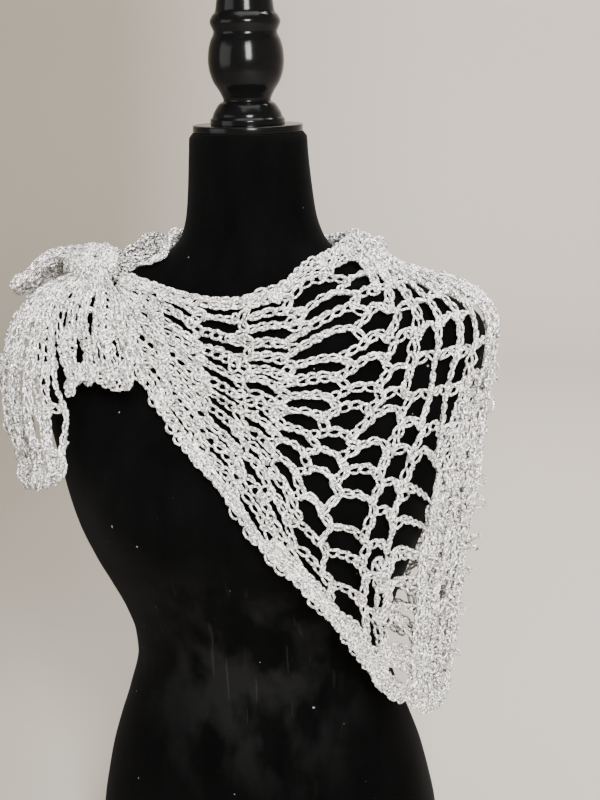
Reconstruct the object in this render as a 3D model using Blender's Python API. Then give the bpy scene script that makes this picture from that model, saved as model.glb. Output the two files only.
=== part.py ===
"""A triangle scarf of open crochet mesh, tied on one shoulder of a dress form without limbs.

Metres, +Z up. The form faces -Y and its left arm cap is at +X. The origin is the middle of the
flat underside of the base plate.
"""

import math
from collections import namedtuple

import bpy
import numpy as np

# The dress form
PLATE_THICK = 0.012
PLATE_MARGIN = 0.006
PLATE_EDGE = 0.0015
TORSO_BASE = 0.0123
TORSO_SIDES = 44
CAP_BASE = 0.6732
CAP_THICK = 0.0059
CAP_RADIUS = 0.0441
CAP_EDGE = 0.0012
FINIAL_GAP = 0.0003
TURNED_SIDES = 32

Section = namedtuple("Section", "height half_width front back middle power")
SECTIONS = [
    Section(0.0123, 0.1500, 0.1000, 0.1160, 0.010, 2.30),
    Section(0.0450, 0.1525, 0.1020, 0.1200, 0.010, 2.30),
    Section(0.0814, 0.1490, 0.1010, 0.1170, 0.010, 2.30),
    Section(0.1079, 0.1440, 0.0990, 0.1120, 0.009, 2.30),
    Section(0.1363, 0.1375, 0.0960, 0.1040, 0.008, 2.30),
    Section(0.1653, 0.1285, 0.0910, 0.0950, 0.006, 2.25),
    Section(0.1911, 0.1195, 0.0860, 0.0870, 0.004, 2.20),
    Section(0.2316, 0.1095, 0.0800, 0.0800, 0.002, 2.20),
    Section(0.2500, 0.1100, 0.0800, 0.0800, -0.001, 2.20),
    Section(0.2753, 0.1155, 0.0820, 0.0830, -0.007, 2.20),
    Section(0.3018, 0.1245, 0.0860, 0.0880, -0.014, 2.25),
    Section(0.3273, 0.1345, 0.0910, 0.0930, -0.019, 2.30),
    Section(0.3552, 0.1455, 0.0960, 0.0970, -0.021, 2.30),
    Section(0.3811, 0.1545, 0.0990, 0.0990, -0.019, 2.30),
    Section(0.4150, 0.1665, 0.0980, 0.0990, -0.013, 2.30),
    Section(0.4500, 0.1785, 0.0910, 0.0960, -0.007, 2.30),
    Section(0.4850, 0.1885, 0.0810, 0.0890, -0.002, 2.30),
    Section(0.5110, 0.1915, 0.0720, 0.0810, 0.000, 2.30),
    Section(0.5260, 0.1870, 0.0670, 0.0760, 0.001, 2.30),
    Section(0.5370, 0.1690, 0.0640, 0.0730, 0.004, 2.30),
    Section(0.5480, 0.1410, 0.0610, 0.0700, 0.004, 2.25),
    Section(0.5570, 0.1120, 0.0590, 0.0670, 0.004, 2.15),
    Section(0.5660, 0.0870, 0.0570, 0.0630, 0.004, 2.05),
    Section(0.5770, 0.0690, 0.0540, 0.0590, 0.004, 2.00),
    Section(0.5900, 0.0585, 0.0510, 0.0550, 0.004, 2.00),
    Section(0.6060, 0.0533, 0.0490, 0.0520, 0.003, 2.00),
    Section(0.6250, 0.0508, 0.0480, 0.0490, 0.002, 2.00),
    Section(0.6580, 0.0480, 0.0465, 0.0465, 0.000, 2.00),
    Section(0.6700, 0.0472, 0.0460, 0.0460, 0.000, 2.00),
    Section(0.6729, 0.0445, 0.0445, 0.0445, 0.000, 2.00),
]
BUST_HEIGHT = 0.388
BUST_SIDE = 0.070
BUST_RISE = 0.028
BUST_WIDE = 0.050
BUST_TALL = 0.050

# Turned outline of the finial: height above the cap, radius
Turn = namedtuple("Turn", "height radius")
FINIAL = [
    Turn(0.0000, 0.0299), Turn(0.0035, 0.0299), Turn(0.0060, 0.0280), Turn(0.0085, 0.0272),
    Turn(0.0120, 0.0253), Turn(0.0160, 0.0224), Turn(0.0185, 0.0190), Turn(0.0240, 0.0210),
    Turn(0.0340, 0.0270), Turn(0.0430, 0.0297), Turn(0.0496, 0.0303), Turn(0.0570, 0.0298),
    Turn(0.0650, 0.0279), Turn(0.0716, 0.0253), Turn(0.0740, 0.0262), Turn(0.0793, 0.0280),
    Turn(0.0840, 0.0262), Turn(0.0870, 0.0237), Turn(0.0968, 0.0221), Turn(0.1060, 0.0203),
    Turn(0.1150, 0.0172), Turn(0.1230, 0.0132), Turn(0.1270, 0.0126), Turn(0.1320, 0.0138),
    Turn(0.1370, 0.0130), Turn(0.1410, 0.0098), Turn(0.1440, 0.0050),
]

# The cloth: it follows the form and hangs from where the form turns in
CLOTH_TOP = 0.606
CLOTH_LOW = 0.060
CLOTH_STEPS = 240
ANGLE_STEP = 2.0
REACH_STEP = 0.004
MOST_REACH = 0.600
CLOTH_CLEAR = 0.0048
HANG_SLOPE = 0.12
WALL = 0.0050
SEAM_GAP = 0.0003
STRAND_WIDTH = 0.0085
LEAST_GAP = 0.004
GAPS_A_SIDE = 144
# Where the rows of the mesh lie, from the neckline to the hem, in even parts of the way
ROW_PLACES = (
    0.0, 1.0, 2.0, 3.0, 4.0, 5.0, 6.0, 7.0, 8.0, 9.0, 10.0, 11.0, 12.1, 13.3, 14.7, 16.1,
    17.3, 18.0,
)
# How far a knot of the mesh wanders from its even place, as a share of a cell
WANDER_ALONG = 0.10
WANDER_DOWN = 0.16
# The bunched cloth by the knot, with its widths given in lines of the mesh from the knot
BUNCH_WALL = 0.0040
BUNCH_WIDTH = 0.9
GATHER_LIFT = 0.0020
GATHER_RIDGE = 0.0035
GATHER_RIDGES = 4.5
GATHER_WIDTH = 1.1
# The soft folds of the hanging back, from this reach and this angle of the form on
FOLD_DEPTH = 0.006
FOLD_REACH = 0.22
FOLD_GROWS = 0.20
FOLD_ANGLE = 385.0
FOLDS_A_TURN = 7.0

# Lines of the mesh from the knot (front) or from the side fold (back): the form's angle in
# degrees and the reach down the cloth from the neck, at the neckline, half way and at the hem
Line = namedtuple("Line", "top_angle top_reach mid_angle mid_reach hem_angle hem_reach")
FRONT_LINES = [
    Line(224, 0.080, 232, 0.090, 240, 0.103),
    Line(234, 0.074, 240, 0.093, 246, 0.121),
    Line(241, 0.071, 248, 0.101, 253, 0.142),
    Line(248, 0.068, 257, 0.110, 258, 0.160),
    Line(262, 0.064, 266, 0.126, 267, 0.190),
    Line(272, 0.060, 273, 0.144, 277, 0.232),
    Line(286, 0.056, 282, 0.168, 288, 0.284),
    Line(321, 0.036, 292, 0.192, 299, 0.332),
    Line(350, 0.032, 302, 0.211, 312, 0.388),
    Line(364, 0.031, 313, 0.221, 322, 0.433),
    Line(373, 0.031, 321, 0.228, 328, 0.464),
    Line(380, 0.031, 327, 0.231, 333, 0.475),
    Line(386, 0.031, 334, 0.234, 337, 0.482),
    Line(392, 0.031, 342, 0.237, 341, 0.487),
    Line(397, 0.030, 351, 0.241, 345, 0.490),
    Line(402, 0.030, 362, 0.244, 350, 0.491),
]
BACK_LINES = [
    Line(402, 0.030, 362, 0.244, 350, 0.491),
    Line(414, 0.030, 382, 0.240, 372, 0.478),
    Line(426, 0.029, 405, 0.232, 394, 0.452),
    Line(440, 0.028, 424, 0.220, 414, 0.420),
    Line(454, 0.026, 440, 0.205, 430, 0.385),
    Line(470, 0.024, 453, 0.190, 444, 0.350),
    Line(488, 0.022, 465, 0.170, 455, 0.315),
    Line(508, 0.021, 476, 0.150, 464, 0.280),
    Line(530, 0.020, 488, 0.130, 473, 0.245),
    Line(555, 0.021, 500, 0.110, 483, 0.210),
    Line(574, 0.030, 515, 0.092, 495, 0.172),
    Line(580, 0.044, 535, 0.078, 508, 0.138),
    Line(580, 0.060, 550, 0.074, 525, 0.110),
    Line(580, 0.070, 560, 0.078, 543, 0.092),
]

# How the knots of the front mesh lie off the even places: at each of these lines, how many lines
# along and how many rows down
SHIFT_LINES = (6.0, 7.5, 8.5, 9.5, 10.5, 11.5, 13.0, 15.0)
Shift = namedtuple("Shift", "row along down")
SHIFTS = [
    Shift(0.0, (0.0, 0.0, 0.0, 0.0, 0.0, 0.0, 0.0, 0.0), (0.0, 0.0, 0.0, 0.0, 0.0, 0.0, 0.0, 0.0)),
    Shift(2.5, (0.0, 0.0, -0.2, -0.3, -0.3, -0.2, 0.0, 0.0), (0.0, 0.1, 0.1, 0.2, 0.2, 0.2, 0.1, 0.0)),
    Shift(4.5, (0.0, -0.2, -0.7, -1.1, -1.1, -0.6, -0.2, 0.0), (0.2, 0.5, 0.5, 0.5, 0.6, 0.7, 0.4, 0.0)),
    Shift(5.5, (0.0, -0.1, -0.6, -1.0, -1.0, -0.5, -0.2, 0.0), (0.2, 0.5, 0.5, 0.5, 0.7, 0.8, 0.4, 0.0)),
    Shift(6.5, (0.0, 0.0, -0.2, -0.6, -0.4, -0.3, -0.1, 0.0), (0.1, 0.3, 0.5, 0.6, 0.7, 0.9, 0.5, 0.0)),
    Shift(7.5, (0.0, 0.1, 0.0, 0.0, 0.1, 0.3, 0.2, 0.0), (0.0, 0.2, 0.3, 0.7, 0.9, 1.1, 0.6, 0.0)),
    Shift(8.5, (0.0, 0.0, 0.0, 0.3, 0.7, 0.6, 0.3, 0.0), (-0.1, -0.1, 0.2, 0.7, 1.0, 1.3, 0.7, 0.0)),
    Shift(9.5, (0.0, 0.0, 0.0, 0.3, 0.9, 0.7, 0.3, 0.0), (-0.3, -0.4, 0.0, 0.5, 1.1, 1.4, 0.7, 0.0)),
    Shift(11.5, (0.0, 0.1, 0.1, 0.9, 1.2, 0.9, 0.4, 0.0), (-0.3, -0.5, -0.2, 0.3, 0.9, 1.2, 0.6, 0.0)),
    Shift(13.5, (0.0, 0.1, 0.1, 0.8, 1.0, 0.8, 0.3, 0.0), (-0.2, -0.4, -0.2, 0.2, 0.6, 0.8, 0.4, 0.0)),
    Shift(18.0, (0.0, 0.0, 0.0, 0.0, 0.0, 0.0, 0.0, 0.0), (0.0, 0.0, 0.0, 0.0, 0.0, 0.0, 0.0, 0.0)),
]

# How far the cloth stands off the ridge of the left shoulder, by the reach down from the neck
Lift = namedtuple("Lift", "reach height")
RIDGE_LIFT = [
    Lift(0.020, 0.003), Lift(0.050, 0.010), Lift(0.070, 0.007), Lift(0.088, 0.003),
    Lift(0.108, 0.004), Lift(0.140, 0.007), Lift(0.160, 0.006), Lift(0.185, 0.002),
    Lift(0.210, 0.000),
]
RIDGE_ANGLE = 375.0
RIDGE_SPREAD = 34.0

KNOT_CENTRE = (-0.1230, -0.0320, 0.5690)
KNOT_RADII = (0.0255, 0.0215, 0.0165)
KNOT_FACING = (0.25, -0.75, 0.60)
KNOT_ROUND = 22
KNOT_RINGS = 10
KNOT_STRANDS = 11
KNOT_RIDGE = 0.0006
KNOT_CLEAR = 0.0002
KNOT_END_CLEAR = 0.0012
KNOT_PASS = 0.0026


def clear_scene():
    for item in list(bpy.data.objects):
        bpy.data.objects.remove(item, do_unlink=True)


def finish(name, colour, roughness, metallic):
    material = bpy.data.materials.new(name)
    material.use_nodes = True
    shader = material.node_tree.nodes["Principled BSDF"]
    shader.inputs["Base Color"].default_value = (*colour, 1.0)
    shader.inputs["Roughness"].default_value = roughness
    shader.inputs["Metallic"].default_value = metallic
    return material


def add_solid(name, points, faces, material):
    mesh = bpy.data.meshes.new(name)
    mesh.from_pydata([tuple(float(c) for c in p) for p in points], [], faces)
    mesh.validate()
    mesh.materials.append(material)
    mesh.shade_smooth()
    mesh.set_sharp_from_angle(angle=math.radians(40))
    solid = bpy.data.objects.new(name, mesh)
    bpy.context.scene.collection.objects.link(solid)
    return solid


def smooth_curve(places, values, at):
    """A curve through a table's points that never overshoots them"""
    places = np.asarray(places, float)
    values = np.asarray(values, float)
    steps = np.diff(places)
    rises = np.diff(values) / steps
    slopes = np.zeros(len(places))
    slopes[0], slopes[-1] = rises[0], rises[-1]
    for i in range(1, len(places) - 1):
        if rises[i - 1] * rises[i] > 0:
            before, after = 2 * steps[i] + steps[i - 1], steps[i] + 2 * steps[i - 1]
            slopes[i] = (before + after) / (before / rises[i - 1] + after / rises[i])
    at = np.clip(at, places[0], places[-1])
    k = np.clip(np.searchsorted(places, at, side="right") - 1, 0, len(steps) - 1)
    t = (at - places[k]) / steps[k]
    start = (1 + 2 * t) * (1 - t) ** 2 * values[k] + t * (1 - t) ** 2 * steps[k] * slopes[k]
    end = t * t * (3 - 2 * t) * values[k + 1] + t * t * (t - 1) * steps[k] * slopes[k + 1]
    return start + end


def form_skin(height, angle):
    """Points of the form's skin; the angle is 0 at +X and a quarter turn at +Y"""
    heights = [s.height for s in SECTIONS]
    wide, front, back, middle, power = (
        smooth_curve(heights, [s[column] for s in SECTIONS], height) for column in range(1, 6)
    )
    along, out = np.cos(angle), np.sin(angle)
    x = wide * np.sign(along) * np.abs(along) ** (2 / power)
    depth = np.where(out > 0, back, front)
    y = middle + depth * np.sign(out) * np.abs(out) ** (2 / power)
    lobes = sum(np.exp(-(((x - side * BUST_SIDE) / BUST_WIDE) ** 2)) for side in (-1, 1))
    rise = BUST_RISE * lobes * np.exp(-(((height - BUST_HEIGHT) / BUST_TALL) ** 2))
    y = np.where(out < 0, y - rise * np.abs(out) ** 0.6, y)
    return np.stack([x, y, height + 0 * x], axis=-1)


def rings_to_faces(rings, around):
    """Faces of a body made of closed rings from the bottom up, with both ends closed"""
    faces = []
    for ring in range(rings - 1):
        for i in range(around):
            a, b = ring * around + i, ring * around + (i + 1) % around
            faces.append((a, b, b + around, a + around))
    faces.append(tuple(reversed(range(around))))
    faces.append(tuple(range((rings - 1) * around, rings * around)))
    return faces


def make_torso(velvet):
    heights = [s.height for s in SECTIONS]
    shoulder = [h for h in heights if 0.48 < h < 0.58]
    heights += [(a + b) / 2 for a, b in zip(shoulder, shoulder[1:])]
    angles = np.linspace(0, 2 * math.pi, TORSO_SIDES, endpoint=False)
    rings = [form_skin(np.full(TORSO_SIDES, h), angles) for h in sorted(heights)]
    add_solid("torso", np.concatenate(rings), rings_to_faces(len(rings), TORSO_SIDES), velvet)


def make_base_plate(wood):
    angles = np.linspace(0, 2 * math.pi, TORSO_SIDES, endpoint=False)
    outline = form_skin(np.full(TORSO_SIDES, TORSO_BASE), angles)
    flat = np.array([1.0, 1.0, 0.0])
    out = outline * flat / np.linalg.norm(outline * flat, axis=1)[:, None]
    rings = []
    for height, margin in (
        (0.0, PLATE_MARGIN - PLATE_EDGE),
        (PLATE_EDGE, PLATE_MARGIN),
        (PLATE_THICK - PLATE_EDGE, PLATE_MARGIN),
        (PLATE_THICK, PLATE_MARGIN - PLATE_EDGE),
    ):
        rings.append(outline * flat + out * margin + np.array([0, 0, height]))
    add_solid("base_plate", np.concatenate(rings), rings_to_faces(4, TORSO_SIDES), wood)


def make_turned(name, profile, base, material):
    """A turned body from a profile of height and radius"""
    angles = np.linspace(0, 2 * math.pi, TURNED_SIDES, endpoint=False)
    rings = []
    for turn in profile:
        x, y = turn.radius * np.cos(angles), turn.radius * np.sin(angles)
        rings.append(np.stack([x, y, np.full(TURNED_SIDES, base + turn.height)], axis=-1))
    faces = rings_to_faces(len(rings), TURNED_SIDES)
    add_solid(name, np.concatenate(rings), faces, material)


def make_neck_cap(gloss):
    profile = [
        Turn(0.0, CAP_RADIUS - CAP_EDGE), Turn(CAP_EDGE, CAP_RADIUS),
        Turn(CAP_THICK - CAP_EDGE, CAP_RADIUS), Turn(CAP_THICK, CAP_RADIUS - CAP_EDGE),
    ]
    make_turned("neck_cap", profile, CAP_BASE, gloss)


class Cloth:
    """The inner face of the worn cloth: a smooth surface over the form's angle and the reach"""

    def __init__(self):
        self.angles = np.arange(0.0, 360.0 + ANGLE_STEP, ANGLE_STEP)
        self.reaches = np.arange(0.0, MOST_REACH, REACH_STEP)
        self.grid = np.array([self.line(math.radians(a)) for a in self.angles])

    def line(self, angle):
        """Down the form at one angle; below its widest place the cloth hangs"""
        z = np.linspace(CLOTH_TOP, CLOTH_LOW, CLOTH_STEPS)
        step, turn = 1e-4, 1e-3
        skin = form_skin(z, np.full(CLOTH_STEPS, angle))
        up = form_skin(z + step, np.full_like(z, angle)) - form_skin(z - step, np.full_like(z, angle))
        on = form_skin(z, np.full_like(z, angle + turn)) - form_skin(z, np.full_like(z, angle - turn))
        out = np.cross(on, up)
        p = skin + out / np.linalg.norm(out, axis=1)[:, None] * CLOTH_CLEAR
        radius = np.hypot(p[:, 0], p[:, 1])
        drop = HANG_SLOPE * (p[0, 2] - p[:, 2])
        widest = np.maximum.accumulate(radius + drop)
        row = np.maximum.accumulate(np.where(radius + drop >= widest, np.arange(CLOTH_STEPS), 0))
        flat = p[row, :2] / radius[row][:, None] * (widest - drop)[:, None]
        p = np.column_stack([flat, p[:, 2]])
        reach = np.concatenate([[0.0], np.cumsum(np.linalg.norm(np.diff(p, axis=0), axis=1))])
        return np.stack([np.interp(self.reaches, reach, p[:, k]) for k in range(3)], axis=-1)

    def inner(self, angle, reach):
        a = np.mod(angle, 360.0) / ANGLE_STEP
        r = np.clip(reach / REACH_STEP, 0, len(self.reaches) - 1.001)
        i, j = int(a), int(r)
        s, t = a - i, r - j
        g = self.grid
        low = g[i, j] * (1 - s) + g[i + 1, j] * s
        high = g[i, j + 1] * (1 - s) + g[i + 1, j + 1] * s
        return low * (1 - t) + high * t

    def out(self, angle, reach):
        turn, slip = 1.5 * ANGLE_STEP, 1.5 * REACH_STEP
        on = self.inner(angle + turn, reach) - self.inner(angle - turn, reach)
        down = self.inner(angle, reach + slip) - self.inner(angle, max(reach - slip, 0.0))
        normal = np.cross(down, on)
        return normal / np.linalg.norm(normal)

    def at(self, angle, reach, lift):
        return self.inner(angle, reach) + self.out(angle, reach) * lift


def onto_knot(point, clear=KNOT_CLEAR):
    """The point moved straight to or from the knot's middle until it lies just clear of the knot"""
    centre = np.array(KNOT_CENTRE)
    radii = np.array(KNOT_RADII) + KNOT_RIDGE + clear
    away = (np.asarray(point) - centre) / radii
    return centre + away / np.linalg.norm(away) * radii


def outside_knot(point, clear=KNOT_PASS):
    """The point, moved out of the knot where it would lie in it or too near it"""
    radii = np.array(KNOT_RADII) + KNOT_RIDGE + clear
    size = np.linalg.norm((np.asarray(point) - np.array(KNOT_CENTRE)) / radii)
    return onto_knot(point, clear) if size < 1.0 else point


def spread(i, j, salt):
    """An even value from -1 to 1 that looks irregular"""
    value = math.sin(12.9898 * i + 78.233 * j + 37.719 * salt) * 43758.5453
    return 2.0 * (value - math.floor(value)) - 1.0


def three_way(top, middle, hem, v):
    """The curve through a value at the neckline, half way and at the hem"""
    return top * (1 - v) * (1 - 2 * v) + middle * 4 * v * (1 - v) + hem * v * (2 * v - 1)


class Drape:
    """One stretch of the mesh, with u in lines from its first line and v from neckline to hem"""

    def __init__(self, cloth, lines, knot_first):
        self.cloth = cloth
        self.lines = lines
        self.columns = len(lines) - 1
        self.knot_first = knot_first

    def from_knot(self, u):
        return u if self.knot_first else self.columns - u

    def place(self, u, v):
        column = int(min(max(u, 0), self.columns - 1e-9))
        marks = np.arange(len(self.lines))
        low, high = max(column - 1, 0), min(column + 3, len(self.lines))
        near = slice(low, high)
        values = [smooth_curve(marks[near], [l[c] for l in self.lines[near]], u) for c in range(6)]
        angle = three_way(values[0], values[2], values[4], v)
        reach = three_way(values[1], values[3], values[5], v)
        return float(angle), float(reach)

    def thick(self, u):
        return WALL + BUNCH_WALL * math.exp(-((self.from_knot(u) / BUNCH_WIDTH) ** 2))

    def lift(self, u, v, angle, reach):
        """How far the cloth stands off the form at its ridge, in its gathers and in its folds"""
        heights = smooth_curve([l.reach for l in RIDGE_LIFT], [l.height for l in RIDGE_LIFT], reach)
        rise = float(heights) * math.exp(-(((angle - RIDGE_ANGLE) / RIDGE_SPREAD) ** 2))
        bunch = math.exp(-(((self.from_knot(u) - 1.0) / GATHER_WIDTH) ** 2))
        ridges = 0.5 + 0.5 * math.cos(2 * math.pi * GATHER_RIDGES * v)
        gather = bunch * (GATHER_LIFT + GATHER_RIDGE * ridges)
        fold = 0.0
        if angle > FOLD_ANGLE:
            hang = min(max((reach - FOLD_REACH) / FOLD_GROWS, 0.0), 1.0)
            wave = 0.5 - 0.5 * math.cos(math.radians(angle - FOLD_ANGLE) * FOLDS_A_TURN)
            fold = FOLD_DEPTH * hang * wave
        return rise + gather + fold

    def across_fold(self, u, v):
        """The way round the form at the side fold, square to the fold's own line"""
        angle, reach = self.place(u, v)
        on = self.cloth.inner(angle + 2, reach) - self.cloth.inner(angle - 2, reach)
        line = self.point(u, min(v + 0.03, 1.0), 0) - self.point(u, max(v - 0.03, 0.0), 0)
        on = on - line * np.dot(on, line) / np.dot(line, line)
        return on / np.linalg.norm(on)

    def point(self, u, v, side):
        """side is -1 on the inner face and 1 on the outer face"""
        angle, reach = self.place(u, v)
        thick = self.thick(u)
        lift = self.lift(u, v, angle, reach) + thick * (0.5 + 0.5 * side)
        return self.cloth.at(angle, reach, lift)


def shifted(row, line, column):
    """One column of the shift table at a row and a line"""
    rows = [s.row for s in SHIFTS]
    across = [float(np.interp(line, SHIFT_LINES, s[column])) for s in SHIFTS]
    return float(np.interp(row, rows, across))


def mesh_nodes(drape):
    """Places of the knots of the mesh as u and v, with the wander of hand work"""
    nodes = {}
    last = len(ROW_PLACES) - 1
    for i, row in enumerate(ROW_PLACES):
        for j in range(drape.columns + 1):
            u, v = float(j), row
            if 0 < j < drape.columns and 0 < i < last:
                u += WANDER_ALONG * spread(i, j, 1)
                v += WANDER_DOWN * spread(i, j, 2)
                if drape.knot_first:
                    u += shifted(row, j, 1)
                    v += shifted(row, j, 2)
            nodes[i, j] = (u, v / ROW_PLACES[-1])
    return nodes


def gap_ring(corners, wide, tall):
    """Six places round the gap of one cell, in from its strands"""
    side = min(0.5 * STRAND_WIDTH / wide, 0.42)
    end = min(0.5 * STRAND_WIDTH / tall, 0.42)
    slant = 0.2 * (1 - 2 * side)
    ring = [
        (side, 0.5), (side + slant, 1 - end), (1 - side - slant, 1 - end),
        (1 - side, 0.5), (1 - side - slant, end), (side + slant, end),
    ]
    (u0, v0), (u1, v1), (u2, v2), (u3, v3) = corners
    places = []
    for p, q in ring:
        u = (1 - q) * ((1 - p) * u0 + p * u1) + q * ((1 - p) * u3 + p * u2)
        v = (1 - q) * ((1 - p) * v0 + p * v1) + q * ((1 - p) * v3 + p * v2)
        places.append((u, v))
    return places


def cell_size(point, corners):
    a, b, c, d = (point(u, v, 0) for u, v in corners)
    wide = 0.5 * (np.linalg.norm(b - a) + np.linalg.norm(c - d))
    tall = 0.5 * (np.linalg.norm(d - a) + np.linalg.norm(c - b))
    return wide, tall


def net_wall(name, point, nodes, rows, columns, gaps, material):
    """A wall over a grid of nodes, with a six-sided gap cut through the largest cells"""
    cells = {}
    for i in range(rows):
        for j in range(columns):
            corners = [nodes[i, j], nodes[i, j + 1], nodes[i + 1, j + 1], nodes[i + 1, j]]
            cells[i, j] = (corners, *cell_size(point, corners))
    inside = [key for key in cells if 0 < key[0] < rows - 1]
    open_cells = [
        key for key in inside
        if cells[key][1] - STRAND_WIDTH > LEAST_GAP and cells[key][2] - STRAND_WIDTH > LEAST_GAP
    ]
    open_cells.sort(key=lambda k: -(cells[k][1] - STRAND_WIDTH) * (cells[k][2] - STRAND_WIDTH))
    chosen = set(open_cells[:gaps])
    points, faces, index = [], [], {}

    def corner(i, j, side):
        if (i, j, side) not in index:
            index[i, j, side] = len(points)
            points.append(point(*nodes[i, j], side))
        return index[i, j, side]

    def face(side, *ids):
        faces.append(ids if side > 0 else tuple(reversed(ids)))

    for (i, j), (corners, wide, tall) in cells.items():
        rings = {}
        for side in (1, -1):
            a, b = corner(i, j, side), corner(i, j + 1, side)
            c, d = corner(i + 1, j + 1, side), corner(i + 1, j, side)
            if (i, j) not in chosen:
                face(side, a, d, c, b)
                continue
            r = list(range(len(points), len(points) + 6))
            points.extend(point(u, v, side) for u, v in gap_ring(corners, wide, tall))
            rings[side] = r
            face(side, d, c, r[2], r[1])
            face(side, c, b, r[3])
            face(side, c, r[3], r[2])
            face(side, b, r[4], r[3])
            face(side, b, a, r[5], r[4])
            face(side, a, d, r[0])
            face(side, a, r[0], r[5])
            face(side, d, r[1], r[0])
        if rings:
            for k in range(6):
                m = (k + 1) % 6
                faces.append((rings[1][k], rings[1][m], rings[-1][m], rings[-1][k]))
    border = [(i, 0) for i in range(rows)] + [(rows, j) for j in range(columns)]
    border += [(i, columns) for i in range(rows, 0, -1)] + [(0, j) for j in range(columns, 0, -1)]
    for k, near in enumerate(border):
        far = border[(k + 1) % len(border)]
        a, b = index[(*near, 1)], index[(*near, -1)]
        c, d = index[(*far, -1)], index[(*far, 1)]
        faces += [(a, b, c), (a, c, d)] if near < far else [(a, b, d), (b, c, d)]
    add_solid(name, points, faces, material)
    return len(chosen)


def make_drape(name, cloth, lines, knot_first, yarn):
    drape = Drape(cloth, lines, knot_first)
    nodes = mesh_nodes(drape)
    fold = drape.columns if knot_first else 0
    back = -1 if knot_first else 1

    def point(u, v, side):
        place = drape.point(u, v, side)
        if drape.from_knot(u) < 1e-6:
            return onto_knot(place, KNOT_END_CLEAR)
        if abs(u - fold) < 1e-6:
            return place + drape.across_fold(u, v) * back * SEAM_GAP / 2
        return outside_knot(place)

    return net_wall(name, point, nodes, len(ROW_PLACES) - 1, drape.columns, GAPS_A_SIDE, yarn)


def make_knot(yarn):
    """A round lump with the strands of the two ends running over it from the middle"""
    centre, radii = np.array(KNOT_CENTRE), np.array(KNOT_RADII)
    facing = np.array(KNOT_FACING)
    facing /= np.linalg.norm(facing)
    across = np.cross([0, 0, 1.0], facing)
    across /= np.linalg.norm(across)
    up = np.cross(facing, across)
    points = []
    for ring in range(1, KNOT_RINGS):
        fall = math.pi * ring / KNOT_RINGS
        for k in range(KNOT_ROUND):
            turn = 2 * math.pi * k / KNOT_ROUND
            ridge = KNOT_RIDGE * math.sin(KNOT_STRANDS * turn) * math.sin(fall)
            away = facing * math.cos(fall) + math.sin(fall) * (across * math.cos(turn) + up * math.sin(turn))
            points.append(centre + away * (radii + ridge))
    faces = []
    for ring in range(KNOT_RINGS - 2):
        for k in range(KNOT_ROUND):
            a, b = ring * KNOT_ROUND + k, ring * KNOT_ROUND + (k + 1) % KNOT_ROUND
            faces.append((a, a + KNOT_ROUND, b + KNOT_ROUND, b))
    first, last = len(points), len(points) + 1
    points += [centre + facing * radii, centre - facing * radii]
    for k in range(KNOT_ROUND):
        m = (k + 1) % KNOT_ROUND
        start = (KNOT_RINGS - 2) * KNOT_ROUND
        faces.append((first, k, m))
        faces.append((last, start + m, start + k))
    add_solid("knot", points, faces, yarn)


# The free ends, station by station down each: the form's angle and the reach at both edges and
# how far the end stands off
Fan = namedtuple("Fan", "first_angle last_angle first_reach last_reach lift")
TAIL_FRONT = [
    Fan(228, 243, 0.108, 0.092, 0.0165), Fan(229, 247, 0.125, 0.103, 0.0175),
    Fan(230, 250, 0.143, 0.116, 0.0175), Fan(231, 252, 0.161, 0.131, 0.0155),
    Fan(233, 252, 0.181, 0.148, 0.0125),
]
TAIL_SIDE = [
    Fan(212, 223, 0.122, 0.112, 0.0135), Fan(209, 225, 0.146, 0.140, 0.0145),
    Fan(203, 227, 0.174, 0.165, 0.0155), Fan(196, 228, 0.205, 0.188, 0.0175),
    Fan(190, 233, 0.236, 0.208, 0.0195), Fan(190, 233, 0.264, 0.228, 0.0175),
    Fan(193, 232, 0.286, 0.246, 0.0155), Fan(198, 227, 0.300, 0.260, 0.0135),
]
TAIL_BACK = [
    Fan(186, 166, 0.112, 0.112, 0.0215), Fan(186, 158, 0.124, 0.128, 0.0235),
    Fan(186, 153, 0.136, 0.146, 0.0215), Fan(186, 150, 0.146, 0.163, 0.0175),
    Fan(185, 148, 0.155, 0.178, 0.0145),
]
FAN_WALL = 0.0035
FAN_SCALLOP = 0.004
FAN_PHASE = 0.6
FAN_ROOT = 0.35


def make_fan(name, cloth, stations, columns, pleats, pleat_depth, gaps, yarn):
    """One gathered free end, narrow at the knot, with its pleats and a scalloped hem"""
    rows = len(stations) - 1
    backward = stations[0].first_angle > stations[0].last_angle

    def point(u, v, side):
        row = v * rows
        marks = range(len(stations))
        edges = [float(smooth_curve(marks, [s[c] for s in stations], row)) for c in range(5)]
        across = u / columns
        angle = edges[0] + (edges[1] - edges[0]) * across
        reach = edges[2] + (edges[3] - edges[2]) * across
        lift = edges[4]
        reach += FAN_SCALLOP * v * v * math.cos(2 * math.pi * pleats * across)
        wave = 0.5 + 0.5 * math.cos(2 * math.pi * pleats * across + FAN_PHASE)
        depth = pleat_depth * (FAN_ROOT + (1 - FAN_ROOT) * min(3 * v, 1.0))
        place = cloth.at(angle, reach, lift + depth * wave + FAN_WALL * (0.5 + 0.5 * side))
        return onto_knot(place) if v < 1e-6 else outside_knot(place)

    nodes = {(i, j): (float(j), i / rows) for i in range(rows + 1) for j in range(columns + 1)}
    if backward:
        nodes = {(i, j): nodes[i, columns - j] for i in range(rows + 1) for j in range(columns + 1)}
    return net_wall(name, point, nodes, rows, columns, gaps, yarn)


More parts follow.
